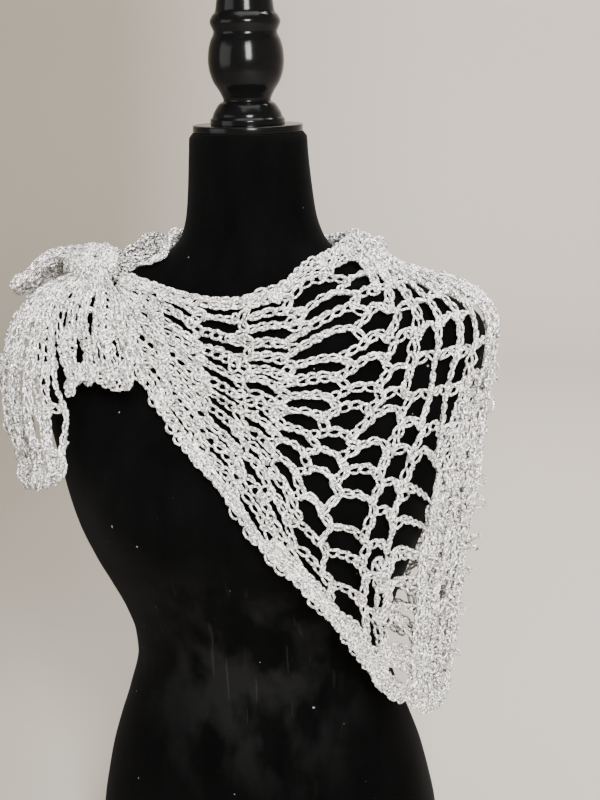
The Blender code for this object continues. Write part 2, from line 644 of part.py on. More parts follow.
def main():
    clear_scene()
    velvet = finish("black_velvet", (0.012, 0.012, 0.013), 0.92, 0.0)
    gloss = finish("gloss_black", (0.010, 0.010, 0.010), 0.12, 0.0)
    wood = finish("black_wood", (0.014, 0.014, 0.014), 0.45, 0.0)
    yarn = finish("silver_yarn", (0.78, 0.77, 0.76), 0.45, 0.25)
    make_base_plate(wood)
    make_torso(velvet)
    make_neck_cap(gloss)
    make_turned("finial", FINIAL, CAP_BASE + CAP_THICK + FINIAL_GAP, gloss)
    cloth = Cloth()
    make_drape("drape_front", cloth, FRONT_LINES, True, yarn)
    make_drape("drape_back", cloth, BACK_LINES, False, yarn)
    make_knot(yarn)
    make_fan("tail_front", cloth, TAIL_FRONT, 12, 4.0, 0.005, 0, yarn)
    make_fan("tail_side", cloth, TAIL_SIDE, 14, 4.5, 0.006, 6, yarn)
    make_fan("tail_back", cloth, TAIL_BACK, 12, 3.5, 0.006, 0, yarn)


main()
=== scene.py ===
import math
from collections import namedtuple

import bpy
import numpy as np
from mathutils import Matrix, Vector


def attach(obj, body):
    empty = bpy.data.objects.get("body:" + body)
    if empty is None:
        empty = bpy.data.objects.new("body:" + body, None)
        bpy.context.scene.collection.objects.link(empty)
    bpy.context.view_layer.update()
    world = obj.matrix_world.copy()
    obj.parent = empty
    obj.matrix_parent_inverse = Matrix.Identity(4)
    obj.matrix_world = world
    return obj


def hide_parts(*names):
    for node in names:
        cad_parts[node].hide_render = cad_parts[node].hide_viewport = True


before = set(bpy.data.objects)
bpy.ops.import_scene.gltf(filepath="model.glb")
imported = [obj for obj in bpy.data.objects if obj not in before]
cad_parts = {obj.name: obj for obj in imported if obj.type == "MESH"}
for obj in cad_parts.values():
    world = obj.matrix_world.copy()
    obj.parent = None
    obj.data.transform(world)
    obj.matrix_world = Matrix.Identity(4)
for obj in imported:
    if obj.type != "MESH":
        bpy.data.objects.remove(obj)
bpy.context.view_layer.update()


def table(columns, *rows):
    """Rows of values with named columns"""
    kind = namedtuple("Row", columns)
    return [kind(*row) for row in rows]


# The camera: its turn round the form, its pitch down, its roll, and where it stands
CAMERA_TURN = math.radians(14.0)
CAMERA_PITCH = math.radians(13.9)
CAMERA_ROLL = math.radians(1.1)
CAMERA_AWAY = 1.2
CAMERA_HEIGHT = 0.748
CAMERA_SIDE = 0.0375
CAMERA_FOCUS = 1477.0
IMAGE_TALL = 800.0
SENSOR = 36.0

# The form and the cloth's surface, as in the part's source
SECTIONS = table(
    "height half_width front back middle power",
    (0.0123, 0.15, 0.1, 0.116, 0.01, 2.3), (0.045, 0.1525, 0.102, 0.12, 0.01, 2.3),
    (0.0814, 0.149, 0.101, 0.117, 0.01, 2.3), (0.1079, 0.144, 0.099, 0.112, 0.009, 2.3),
    (0.1363, 0.1375, 0.096, 0.104, 0.008, 2.3), (0.1653, 0.1285, 0.091, 0.095, 0.006, 2.25),
    (0.1911, 0.1195, 0.086, 0.087, 0.004, 2.2), (0.2316, 0.1095, 0.08, 0.08, 0.002, 2.2),
    (0.25, 0.11, 0.08, 0.08, -0.001, 2.2), (0.2753, 0.1155, 0.082, 0.083, -0.007, 2.2),
    (0.3018, 0.1245, 0.086, 0.088, -0.014, 2.25), (0.3273, 0.1345, 0.091, 0.093, -0.019, 2.3),
    (0.3552, 0.1455, 0.096, 0.097, -0.021, 2.3), (0.3811, 0.1545, 0.099, 0.099, -0.019, 2.3),
    (0.415, 0.1665, 0.098, 0.099, -0.013, 2.3), (0.45, 0.1785, 0.091, 0.096, -0.007, 2.3),
    (0.485, 0.1885, 0.081, 0.089, -0.002, 2.3), (0.511, 0.1915, 0.072, 0.081, 0.0, 2.3),
    (0.526, 0.187, 0.067, 0.076, 0.001, 2.3), (0.537, 0.169, 0.064, 0.073, 0.004, 2.3),
    (0.548, 0.141, 0.061, 0.07, 0.004, 2.25), (0.557, 0.112, 0.059, 0.067, 0.004, 2.15),
    (0.566, 0.087, 0.057, 0.063, 0.004, 2.05), (0.577, 0.069, 0.054, 0.059, 0.004, 2.0),
    (0.59, 0.0585, 0.051, 0.055, 0.004, 2.0), (0.606, 0.0533, 0.049, 0.052, 0.003, 2.0),
    (0.625, 0.0508, 0.048, 0.049, 0.002, 2.0), (0.658, 0.048, 0.0465, 0.0465, 0.0, 2.0),
    (0.67, 0.0472, 0.046, 0.046, 0.0, 2.0), (0.6729, 0.0445, 0.0445, 0.0445, 0.0, 2.0),
)
BUST_HEIGHT = 0.388
BUST_SIDE = 0.070
BUST_RISE = 0.028
BUST_WIDE = 0.050
BUST_TALL = 0.050

# The cloth's inner face: where it starts and ends, its steps, and how it clears and leaves the form
CLOTH_TOP = 0.606
CLOTH_LOW = 0.060
CLOTH_STEPS = 240
ANGLE_STEP = 2.0
REACH_STEP = 0.004
MOST_REACH = 0.600
CLOTH_CLEAR = 0.0048
HANG_SLOPE = 0.12
WALL = 0.005
ROWS = 18
WANDER_DOWN = 0.16
# The bunched cloth by the knot, and the folds of the hanging back
BUNCH_WALL = 0.004
BUNCH_WIDTH = 0.9
GATHER_LIFT = 0.002
GATHER_RIDGE = 0.0035
GATHER_RIDGES = 4.5
GATHER_WIDTH = 1.1
FOLD_DEPTH = 0.006
FOLD_REACH = 0.22
FOLD_GROWS = 0.2
FOLD_ANGLE = 385.0
FOLDS_A_TURN = 7.0

# Lines of the net from the knot (front) or the side fold (back): the form's angle in degrees and
# the reach down the cloth at the neckline, half way and at the hem
LINE_COLUMNS = "top_angle top_reach mid_angle mid_reach hem_angle hem_reach"
FRONT_LINES = table(
    LINE_COLUMNS,
    (224, 0.08, 232, 0.09, 240, 0.103), (234, 0.074, 240, 0.093, 246, 0.121),
    (241, 0.071, 248, 0.101, 253, 0.142), (248, 0.068, 257, 0.11, 258, 0.16),
    (262, 0.064, 266, 0.126, 267, 0.19), (272, 0.06, 273, 0.144, 277, 0.232),
    (286, 0.056, 282, 0.168, 288, 0.284), (321, 0.036, 292, 0.192, 299, 0.332),
    (350, 0.032, 302, 0.211, 312, 0.388), (364, 0.031, 313, 0.221, 322, 0.433),
    (373, 0.031, 321, 0.228, 328, 0.464), (380, 0.031, 327, 0.231, 333, 0.475),
    (386, 0.031, 334, 0.234, 337, 0.482), (392, 0.031, 342, 0.237, 341, 0.487),
    (397, 0.03, 351, 0.241, 345, 0.49), (402, 0.03, 362, 0.244, 350, 0.491),
)
BACK_LINES = table(
    LINE_COLUMNS,
    (402, 0.03, 362, 0.244, 350, 0.491), (414, 0.03, 382, 0.24, 372, 0.478),
    (426, 0.029, 405, 0.232, 394, 0.452), (440, 0.028, 424, 0.22, 414, 0.42),
    (454, 0.026, 440, 0.205, 430, 0.385), (470, 0.024, 453, 0.19, 444, 0.35),
    (488, 0.022, 465, 0.17, 455, 0.315), (508, 0.021, 476, 0.15, 464, 0.28),
    (530, 0.02, 488, 0.13, 473, 0.245), (555, 0.021, 500, 0.11, 483, 0.21),
    (574, 0.03, 515, 0.092, 495, 0.172), (580, 0.044, 535, 0.078, 508, 0.138),
    (580, 0.06, 550, 0.074, 525, 0.11), (580, 0.07, 560, 0.078, 543, 0.092),
)
# How far the cloth stands off the ridge of the shoulder
RIDGE_LIFT = table(
    "reach height",
    (0.02, 0.003), (0.05, 0.01), (0.07, 0.007), (0.088, 0.003), (0.108, 0.004), (0.14, 0.007),
    (0.16, 0.006), (0.185, 0.002), (0.21, 0.0),
)
RIDGE_ANGLE = 375.0
RIDGE_SPREAD = 34.0

CAP_BASE = 0.6732
CAP_THICK = 0.0059
CAP_RADIUS = 0.0441
CAP_EDGE = 0.0012
FINIAL_BASE = 0.6794
# Turned outline of the finial: height above the cap, radius
FINIAL = table(
    "height radius",
    (0.0, 0.0299), (0.0035, 0.0299), (0.006, 0.028), (0.0085, 0.0272), (0.012, 0.0253), (0.016, 0.0224),
    (0.0185, 0.019), (0.024, 0.021), (0.034, 0.027), (0.043, 0.0297), (0.0496, 0.0303), (0.057, 0.0298),
    (0.065, 0.0279), (0.0716, 0.0253), (0.074, 0.0262), (0.0793, 0.028), (0.084, 0.0262),
    (0.087, 0.0237), (0.0968, 0.0221), (0.106, 0.0203), (0.115, 0.0172), (0.123, 0.0132),
    (0.127, 0.0126), (0.132, 0.0138), (0.137, 0.013), (0.141, 0.0098), (0.144, 0.005),
)

KNOT_CENTRE = np.array([-0.1230, -0.0320, 0.5690])
KNOT_RADII = np.array([0.0255, 0.0215, 0.0165])
KNOT_FACING = np.array([0.25, -0.75, 0.60])

# The free ends, station by station: the form's angle and the reach at both edges, and the lift
FAN_COLUMNS = "first_angle last_angle first_reach last_reach lift"
TAIL_FRONT = table(
    FAN_COLUMNS,
    (228, 243, 0.108, 0.092, 0.0165), (229, 247, 0.125, 0.103, 0.0175),
    (230, 250, 0.143, 0.116, 0.0175), (231, 252, 0.161, 0.131, 0.0155),
    (233, 252, 0.181, 0.148, 0.0125),
)
TAIL_SIDE = table(
    FAN_COLUMNS,
    (212, 223, 0.122, 0.112, 0.0135), (209, 225, 0.146, 0.14, 0.0145),
    (203, 227, 0.174, 0.165, 0.0155), (196, 228, 0.205, 0.188, 0.0175),
    (190, 233, 0.236, 0.208, 0.0195), (190, 233, 0.264, 0.228, 0.0175),
    (193, 232, 0.286, 0.246, 0.0155), (198, 227, 0.3, 0.26, 0.0135),
)
TAIL_BACK = table(
    FAN_COLUMNS,
    (186, 166, 0.112, 0.112, 0.0215), (186, 158, 0.124, 0.128, 0.0235),
    (186, 153, 0.136, 0.146, 0.0215), (186, 150, 0.146, 0.163, 0.0175),
    (185, 148, 0.155, 0.178, 0.0145),
)
FAN_WALL = 0.0035
FAN_SCALLOP = 0.004
FAN_PHASE = 0.6
FAN_ROOT = 0.35
FAN_ACROSS = 97
FAN_DOWN = 61

# The yarn and its chain stitches
YARN = 0.00108
YARN_SIDES = 5
YARN_BUMPS = 0.26
STITCH = 0.0093
STITCH_SAMPLES = 14
STITCH_UNEVEN = 0.1
UNEVEN_SHARES = (0.3, 1.0, 1.0)
WIDTH_UNEVEN = 0.12
AIM_SHARE = 0.3
CHAIN_WIDTH = 0.0069
CHAIN_DEPTH = 0.0011
# The bends of the yarn in one stitch: both legs of the loop, its head and the run behind it
STITCH_BENDS = table(
    "along across depth",
    (0.0, -0.3, -0.8), (0.3, -0.75, 0.9), (0.7, -1.0, 0.4), (1.1, -0.75, -0.4), (1.3, 0.0, -0.9),
    (1.1, 0.75, -0.4), (0.7, 1.0, 0.4), (0.3, 0.75, 0.9), (0.02, 0.3, -0.8), (0.3, -0.05, -1.5),
    (0.7, -0.45, -1.6),
)

random = np.random.default_rng(41)


def smooth_curve(places, values, at):
    """A curve through a table's points that never overshoots them"""
    places = np.asarray(places, float)
    values = np.asarray(values, float)
    steps = np.diff(places)
    rises = np.diff(values) / steps
    slopes = np.zeros(len(places))
    slopes[0], slopes[-1] = rises[0], rises[-1]
    for i in range(1, len(places) - 1):
        if rises[i - 1] * rises[i] > 0:
            before, after = 2 * steps[i] + steps[i - 1], steps[i] + 2 * steps[i - 1]
            slopes[i] = (before + after) / (before / rises[i - 1] + after / rises[i])
    at = np.clip(at, places[0], places[-1])
    k = np.clip(np.searchsorted(places, at, side="right") - 1, 0, len(steps) - 1)
    t = (at - places[k]) / steps[k]
    start = (1 + 2 * t) * (1 - t) ** 2 * values[k] + t * (1 - t) ** 2 * steps[k] * slopes[k]
    end = t * t * (3 - 2 * t) * values[k + 1] + t * t * (t - 1) * steps[k] * slopes[k + 1]
    return start + end


def form_skin(height, angle):
    """Points of the form's skin; the angle is 0 at +X and a quarter turn at +Y"""
    heights = [s.height for s in SECTIONS]
    wide, front, back, middle, power = (
        smooth_curve(heights, [s[column] for s in SECTIONS], height) for column in range(1, 6)
    )
    along, out = np.cos(angle), np.sin(angle)
    x = wide * np.sign(along) * np.abs(along) ** (2 / power)
    depth = np.where(out > 0, back, front)
    y = middle + depth * np.sign(out) * np.abs(out) ** (2 / power)
    lobes = sum(np.exp(-(((x - side * BUST_SIDE) / BUST_WIDE) ** 2)) for side in (-1, 1))
    rise = BUST_RISE * lobes * np.exp(-(((height - BUST_HEIGHT) / BUST_TALL) ** 2))
    y = np.where(out < 0, y - rise * np.abs(out) ** 0.6, y)
    return np.stack([x, y, height + 0 * x], axis=-1)


def unit(vectors):
    return vectors / np.maximum(np.linalg.norm(vectors, axis=-1, keepdims=True), 1e-12)


def lengths_along(points):
    """How far along a path each of its points lies"""
    return np.concatenate([[0.0], np.cumsum(np.linalg.norm(np.diff(points, axis=0), axis=1))])


def follow(values, run, where):
    """What is kept at the points of a path, at other places along its run"""
    return np.stack([np.interp(where, run, values[:, k]) for k in range(3)], axis=-1)


def between(grid, a, b):
    """What a grid keeps, between its points"""
    i, j = a.astype(int), b.astype(int)
    s, t = (a - i)[..., None], (b - j)[..., None]
    low = grid[i, j] * (1 - s) + grid[i + 1, j] * s
    high = grid[i, j + 1] * (1 - s) + grid[i + 1, j + 1] * s
    return low * (1 - t) + high * t


class Cloth:
    """The inner face of the worn cloth over the form's angle and the reach down from the neck"""

    def __init__(self):
        self.angles = np.arange(0.0, 360.0 + ANGLE_STEP, ANGLE_STEP)
        self.reaches = np.arange(0.0, MOST_REACH, REACH_STEP)
        self.grid = np.array([self.line(math.radians(a)) for a in self.angles])

    def line(self, angle):
        """Down the form at one angle; below its widest place the cloth hangs"""
        z = np.linspace(CLOTH_TOP, CLOTH_LOW, CLOTH_STEPS)
        step, turn = 1e-4, 1e-3
        skin = form_skin(z, np.full(CLOTH_STEPS, angle))
        up = form_skin(z + step, np.full_like(z, angle)) - form_skin(z - step, np.full_like(z, angle))
        on = form_skin(z, np.full_like(z, angle + turn)) - form_skin(z, np.full_like(z, angle - turn))
        p = skin + unit(np.cross(on, up)) * CLOTH_CLEAR
        radius = np.hypot(p[:, 0], p[:, 1])
        drop = HANG_SLOPE * (p[0, 2] - p[:, 2])
        widest = np.maximum.accumulate(radius + drop)
        row = np.maximum.accumulate(np.where(radius + drop >= widest, np.arange(CLOTH_STEPS), 0))
        flat = p[row, :2] / radius[row][:, None] * (widest - drop)[:, None]
        p = np.column_stack([flat, p[:, 2]])
        return follow(p, lengths_along(p), self.reaches)

    def inner(self, angle, reach):
        a = np.mod(angle, 360.0) / ANGLE_STEP
        r = np.clip(reach / REACH_STEP, 0, len(self.reaches) - 1.001)
        return between(self.grid, a, r)

    def out(self, angle, reach):
        turn, slip = 1.5 * ANGLE_STEP, 1.5 * REACH_STEP
        on = self.inner(angle + turn, reach) - self.inner(angle - turn, reach)
        down = self.inner(angle, reach + slip) - self.inner(angle, np.maximum(reach - slip, 0.0))
        return unit(np.cross(down, on))


def spread(i, j, salt):
    """An even value from -1 to 1 that looks irregular"""
    value = math.sin(12.9898 * i + 78.233 * j + 37.719 * salt) * 43758.5453
    return 2.0 * (value - math.floor(value)) - 1.0


class Sheet:
    """A surface kept as a grid of points over u and v from 0 up, with its outward directions"""

    def __init__(self, us, vs, points, directions):
        self.us, self.vs = us, vs
        self.points, self.directions = np.array(points), np.array(directions)

    def sample(self, grid, u, v):
        a = np.clip(u / self.us[1], 0, len(self.us) - 1.0001)
        b = np.clip(v / self.vs[1], 0, len(self.vs) - 1.0001)
        return between(grid, a, b)

    def at(self, u, v, height):
        """Points at a height over the surface, and its outward directions there"""
        u, v, height = np.broadcast_arrays(np.asarray(u, float), v, height)
        out = unit(self.sample(self.directions, u, v))
        return self.sample(self.points, u, v) + out * height[..., None], out


# Steps of a drape's grid from line to line and from row to row
U_STEPS = 10
V_STEPS = 6


def drape_sheet(cloth, lines, knot_first):
    """The middle of one drape's wall, with u in lines and v from the neckline to the hem"""
    columns = len(lines) - 1
    us = np.linspace(0, columns, columns * U_STEPS + 1)
    vs = np.linspace(0, 1, ROWS * V_STEPS + 1)
    marks = np.arange(len(lines))
    points, directions = [], []
    for u in us:
        column = int(min(u, columns - 1e-9))
        near = slice(max(column - 1, 0), min(column + 3, len(lines)))
        values = [float(smooth_curve(marks[near], [l[c] for l in lines[near]], u)) for c in range(6)]

        def three_way(k):
            return (
                values[k] * (1 - vs) * (1 - 2 * vs)
                + values[k + 2] * 4 * vs * (1 - vs)
                + values[k + 4] * vs * (2 * vs - 1)
            )

        angle, reach = three_way(0), three_way(1)
        from_knot = u if knot_first else columns - u
        ridge = smooth_curve([l.reach for l in RIDGE_LIFT], [l.height for l in RIDGE_LIFT], reach)
        rise = ridge * np.exp(-(((angle - RIDGE_ANGLE) / RIDGE_SPREAD) ** 2))
        bunch = math.exp(-(((from_knot - 1.0) / GATHER_WIDTH) ** 2))
        gather = bunch * (GATHER_LIFT + GATHER_RIDGE * (0.5 + 0.5 * np.cos(2 * math.pi * GATHER_RIDGES * vs)))
        hang = np.clip((reach - FOLD_REACH) / FOLD_GROWS, 0.0, 1.0)
        wave = 0.5 - 0.5 * np.cos(np.radians(angle - FOLD_ANGLE) * FOLDS_A_TURN)
        fold = np.where(angle > FOLD_ANGLE, FOLD_DEPTH * hang * wave, 0.0)
        thick = WALL + BUNCH_WALL * math.exp(-((from_knot / BUNCH_WIDTH) ** 2))
        out = cloth.out(angle, reach)
        points.append(cloth.inner(angle, reach) + out * (rise + gather + fold + thick / 2)[:, None])
        directions.append(out)
    return Sheet(us, vs, points, directions)


def fan_sheet(cloth, stations, pleats, pleat_depth):
    """The middle of a free end's wall, with u across it and v from the knot to its hem"""
    us = np.linspace(0, 1, FAN_ACROSS)
    vs = np.linspace(0, 1, FAN_DOWN)
    row = vs * (len(stations) - 1)
    edges = [smooth_curve(range(len(stations)), [s[c] for s in stations], row) for c in range(5)]
    points, directions = [], []
    for u in us:
        angle = edges[0] + (edges[1] - edges[0]) * u
        reach = edges[2] + (edges[3] - edges[2]) * u
        reach = reach + FAN_SCALLOP * vs * vs * math.cos(2 * math.pi * pleats * u)
        wave = 0.5 + 0.5 * math.cos(2 * math.pi * pleats * u + FAN_PHASE)
        depth = pleat_depth * (FAN_ROOT + (1 - FAN_ROOT) * np.minimum(3 * vs, 1.0))
        out = cloth.out(angle, reach)
        points.append(cloth.inner(angle, reach) + out * (edges[4] + depth * wave + FAN_WALL / 2)[:, None])
        directions.append(out)
    return Sheet(us, vs, points, directions)


def stitch_shape():
    """One stitch of the yarn as shares along, across and in depth, from its table of bends"""
    bends = np.array([[b.along, b.across, b.depth] for b in STITCH_BENDS])
    count = len(bends)
    step = np.array([1.0, 0.0, 0.0])
    table = np.concatenate([bends[-1:] - step, bends, bends[:2] + step])
    shape = []
    for k in range(STITCH_SAMPLES):
        at = k * count / STITCH_SAMPLES
        i, t = int(at), at - int(at)
        a, b, c, d = table[i:i + 4]
        square, cube = 2 * a - 5 * b + 4 * c - d, 3 * b - a - 3 * c + d
        shape.append(0.5 * (2 * b + (c - a) * t + square * t * t + cube * t ** 3))
    return np.array(shape)


def chain(points, out, width=1.0, roll=0.0, twist=0.0, stitch=STITCH):
    """The yarn's way through a run of chain stitches that follows the points"""
    run = lengths_along(points)
    count = max(1, int(round(run[-1] / stitch)))
    shape = np.tile(STITCH_SHAPE, (count, 1))
    shape = np.concatenate([shape, STITCH_SHAPE[:1]])
    turns = np.repeat(np.arange(count + 1), STITCH_SAMPLES)[:len(shape)]
    shape = shape + STITCH_UNEVEN * random.uniform(-1, 1, shape.shape) * np.array(UNEVEN_SHARES)
    along = (turns + shape[:, 0]) / count * run[-1]
    inside = np.clip(along, 0.0, run[-1])
    gap = AIM_SHARE * stitch
    ahead = follow(points, run, np.minimum(inside + gap, run[-1]))
    behind = follow(points, run, np.maximum(inside - gap, 0.0))
    forward = unit(ahead - behind)
    place = follow(points, run, inside) + forward * (along - inside)[:, None]
    up = follow(out, run, inside)
    side = unit(np.cross(forward, up))
    up = np.cross(side, forward)
    lean = roll + twist * (turns / count - 0.5)
    cos, sin = np.cos(lean)[:, None], np.sin(lean)[:, None]
    across = side * cos + up * sin
    depth = up * cos - side * sin
    even = 1 + WIDTH_UNEVEN * random.uniform(-1, 1, count + 1)[turns]
    half = width * CHAIN_WIDTH / 2 * even
    return place + across * (half * shape[:, 1])[:, None] + depth * (CHAIN_DEPTH * shape[:, 2])[:, None]


STITCH_SHAPE = stitch_shape()


def tube_mesh(name, paths):
    """One mesh of closed yarn tubes along the paths"""
    longest = max(len(p) for p in paths)
    lengths = np.array([len(p) for p in paths])
    block = np.stack([np.concatenate([p, np.repeat(p[-1:], longest - len(p), axis=0)]) for p in paths])
    ahead = np.concatenate([block[:, 1:], block[:, -1:]], axis=1)
    behind = np.concatenate([block[:, :1], block[:, :-1]], axis=1)
    along = unit(ahead - behind)
    start = np.cross(along[:, 0], np.array([0.31, 0.87, 0.38]))
    frames = [unit(start)]
    for k in range(1, longest):
        last = frames[-1]
        turned = last - along[:, k] * np.sum(last * along[:, k], axis=1, keepdims=True)
        frames.append(unit(turned))
    across = np.stack(frames, axis=1)
    other = np.cross(along, across)
    sides = YARN_SIDES
    angles = np.linspace(0, 2 * math.pi, sides, endpoint=False)
    ring = (
        across[:, :, None] * np.cos(angles)[:, None]
        + other[:, :, None] * np.sin(angles)[:, None]
    )
    size = YARN * (1 + YARN_BUMPS * random.uniform(-1, 1, (*block.shape[:2], 1, 1)))
    size = size * (1 + 0.5 * YARN_BUMPS * random.uniform(-1, 1, (*block.shape[:2], sides, 1)))
    shell = block[:, :, None] + ring * size
    points, quads, ends = [], [], []
    base = 0
    around = np.arange(sides)
    after = (around + 1) % sides
    for path, length in enumerate(lengths):
        points.append(shell[path, :length].reshape(-1, 3))
        rows = base + np.arange(length - 1)[:, None] * sides
        quads.append(
            np.stack([rows + around, rows + after, rows + after + sides, rows + around + sides], axis=-1)
            .reshape(-1, 4)
        )
        ends.append(base + around[::-1])
        ends.append(base + (length - 1) * sides + around)
        base += length * sides
    points = np.concatenate(points)
    quads = np.concatenate(quads)
    ends = np.array(ends)
    mesh = bpy.data.meshes.new(name)
    mesh.vertices.add(len(points))
    mesh.vertices.foreach_set("co", points.ravel())
    corners = np.concatenate([quads.ravel(), ends.ravel()])
    mesh.loops.add(len(corners))
    mesh.loops.foreach_set("vertex_index", corners)
    starts = np.concatenate([
        np.arange(len(quads)) * 4,
        len(quads) * 4 + np.arange(len(ends)) * sides,
    ])
    mesh.polygons.add(len(starts))
    mesh.polygons.foreach_set("loop_start", starts)
    mesh.update(calc_edges=True)
    mesh.validate()
    mesh.shade_smooth()
    return mesh


def add_object(name, data):
    added = bpy.data.objects.new(name, data)
    bpy.context.scene.collection.objects.link(added)
    return added


def add_piece(name, mesh, material, node):
    piece = add_object(name, mesh)
    mesh.materials.append(material)
    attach(piece, "root")
    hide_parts(node)
    return piece


# Materials
def new_material(name):
    material = bpy.data.materials.new(name)
    material.use_nodes = True
    tree = material.node_tree
    return material, tree, tree.nodes["Principled BSDF"]


def feed(tree, value, node, socket):
    tree.links.new(value, node.inputs[socket])


def noise(tree, scale, detail=3.0, stretch=(1.0, 1.0, 1.0)):
    place = tree.nodes.new("ShaderNodeTexCoord")
    mapping = tree.nodes.new("ShaderNodeMapping")
    mapping.inputs["Scale"].default_value = stretch
    texture = tree.nodes.new("ShaderNodeTexNoise")
    texture.inputs["Scale"].default_value = scale
    texture.inputs["Detail"].default_value = detail
    feed(tree, place.outputs["Object"], mapping, "Vector")
    feed(tree, mapping.outputs["Vector"], texture, "Vector")
    return texture.outputs["Fac"]


def ramp(tree, value, stops):
    node = tree.nodes.new("ShaderNodeValToRGB")
    for k, (place, colour) in enumerate(stops):
        stop = node.color_ramp.elements[k] if k < 2 else node.color_ramp.elements.new(place)
        stop.position = place
        stop.color = (*colour, 1.0)
    feed(tree, value, node, "Fac")
    return node.outputs["Color"]


def bump(tree, value, strength, distance):
    node = tree.nodes.new("ShaderNodeBump")
    node.inputs["Strength"].default_value = strength
    node.inputs["Distance"].default_value = distance
    feed(tree, value, node, "Height")
    return node.outputs["Normal"]


def grey(value):
    return (value, value, value)


def yarn_material(name, tones):
    """Glittering yarn with flecks of these tones, from the dark to the light; the dark flecks are partly
    painted shade between its fibres
    """
    material, tree, shader = new_material(name)
    # Colour flecks: the light ones the yarn's own white, the dark ones painted shade between its fibres
    fleck = noise(tree, 560.0, 2.0)
    colour = ramp(tree, fleck, list(zip((0.42, 0.49, 0.56), tones)))
    feed(tree, colour, shader, "Base Color")
    shine = ramp(tree, noise(tree, 620.0, 1.0), [(0.53, grey(0.0)), (0.60, grey(0.9))])
    feed(tree, shine, shader, "Metallic")
    rough = ramp(tree, noise(tree, 800.0, 1.0), [(0.35, grey(0.12)), (0.65, grey(0.42))])
    feed(tree, rough, shader, "Roughness")
    feed(tree, bump(tree, noise(tree, 520.0, 1.5), 0.8, 0.0022), shader, "Normal")
    return material


# Where the nap is rubbed: over the belly
RUBBED_AT = (0.01, -0.10, 0.235)
RUBBED_INNER = 0.03
RUBBED_OUTER = 0.13


def math_node(tree, operation, first, second):
    node = tree.nodes.new("ShaderNodeMath")
    node.operation = operation
    for socket, value in zip(node.inputs, (first, second)):
        if isinstance(value, float):
            socket.default_value = value
        else:
            tree.links.new(value, socket)
    return node.outputs["Value"]


def velvet_material():
    """Black pile with a rubbed place, hair-thin scratches and a few pale specks of lint"""
    material, tree, shader = new_material("black_velvet_nap")
    place = tree.nodes.new("ShaderNodeTexCoord")
    away = tree.nodes.new("ShaderNodeVectorMath")
    away.operation = "DISTANCE"
    away.inputs[1].default_value = RUBBED_AT
    feed(tree, place.outputs["Object"], away, 0)
    near = ramp(tree, away.outputs["Value"], [(RUBBED_INNER, grey(1.0)), (RUBBED_OUTER, grey(0.0))])
    patch = ramp(tree, noise(tree, 30.0, 12.0, (1.0, 1.0, 0.6)), [(0.45, grey(0.0)), (0.60, grey(1.0))])
    scratch = ramp(tree, noise(tree, 60.0, 1.0, (3.0, 1.0, 0.16)), [(0.70, grey(0.0)), (0.71, grey(1.0))])
    lint = ramp(tree, noise(tree, 240.0, 0.0), [(0.875, grey(0.0)), (0.89, grey(1.0))])
    nap = ramp(tree, noise(tree, 40.0, 5.0, (1.0, 1.0, 0.35)), [(0.35, grey(0.0004)), (0.70, grey(0.0013))])
    shade = nap
    for mark, strength in ((patch, 0.0055), (scratch, 0.005)):
        worn = math_node(tree, "MULTIPLY", near, math_node(tree, "MULTIPLY", mark, strength))
        shade = math_node(tree, "ADD", shade, worn)
    shade = math_node(tree, "ADD", shade, math_node(tree, "MULTIPLY", lint, 0.15))
    feed(tree, shade, shader, "Base Color")
    shader.inputs["Roughness"].default_value = 0.95
    shader.inputs["Specular IOR Level"].default_value = 0.04
    shader.inputs["Sheen Weight"].default_value = 0.012
    shader.inputs["Sheen Roughness"].default_value = 0.4
    feed(tree, bump(tree, noise(tree, 1500.0, 2.0), 0.4, 0.0004), shader, "Normal")
    return material


def gloss_material():
    material, tree, shader = new_material("gloss_black_lacquer")
    shader.inputs["Base Color"].default_value = (0.003, 0.003, 0.003, 1.0)
    rough = ramp(tree, noise(tree, 60.0, 4.0), [(0.3, grey(0.13)), (0.7, grey(0.20))])
    feed(tree, rough, shader, "Roughness")
    shader.inputs["Specular IOR Level"].default_value = 0.13
    feed(tree, bump(tree, noise(tree, 120.0, 3.0), 0.05, 0.0006), shader, "Normal")
    return material


def plate_material():
    material, tree, shader = new_material("satin_black_wood")
    grain = noise(tree, 30.0, 6.0, (1.0, 16.0, 1.0))
    colour = ramp(tree, grain, [(0.3, (0.008, 0.008, 0.008)), (0.7, (0.02, 0.019, 0.018))])
    feed(tree, colour, shader, "Base Color")
    shader.inputs["Roughness"].default_value = 0.45
    feed(tree, bump(tree, grain, 0.2, 0.0005), shader, "Normal")
    return material


# How far to each side the painted shade of the floor and wall changes, darker and yellower at the left
WALL_PAINTED_SHADE_SPAN = 0.45


def wall_material():
    material, tree, shader = new_material("pale_wall_painted_shade")
    place = tree.nodes.new("ShaderNodeTexCoord")
    parts = tree.nodes.new("ShaderNodeSeparateXYZ")
    feed(tree, place.outputs["Object"], parts, "Vector")
    span = tree.nodes.new("ShaderNodeMapRange")
    span.inputs["From Min"].default_value = -WALL_PAINTED_SHADE_SPAN
    span.inputs["From Max"].default_value = WALL_PAINTED_SHADE_SPAN
    feed(tree, parts.outputs["X"], span, "Value")
    # Painted shade: the floor and wall darker and yellower towards the left, where less light falls
    colour = ramp(tree, span.outputs["Result"], [
        (0.0, (0.27, 0.245, 0.2)), (0.35, (0.4, 0.366, 0.315)), (0.6, (0.47, 0.43, 0.385)),
        (1.0, (0.52, 0.47, 0.43)),
    ])
    feed(tree, colour, shader, "Base Color")
    shader.inputs["Roughness"].default_value = 0.9
    return material


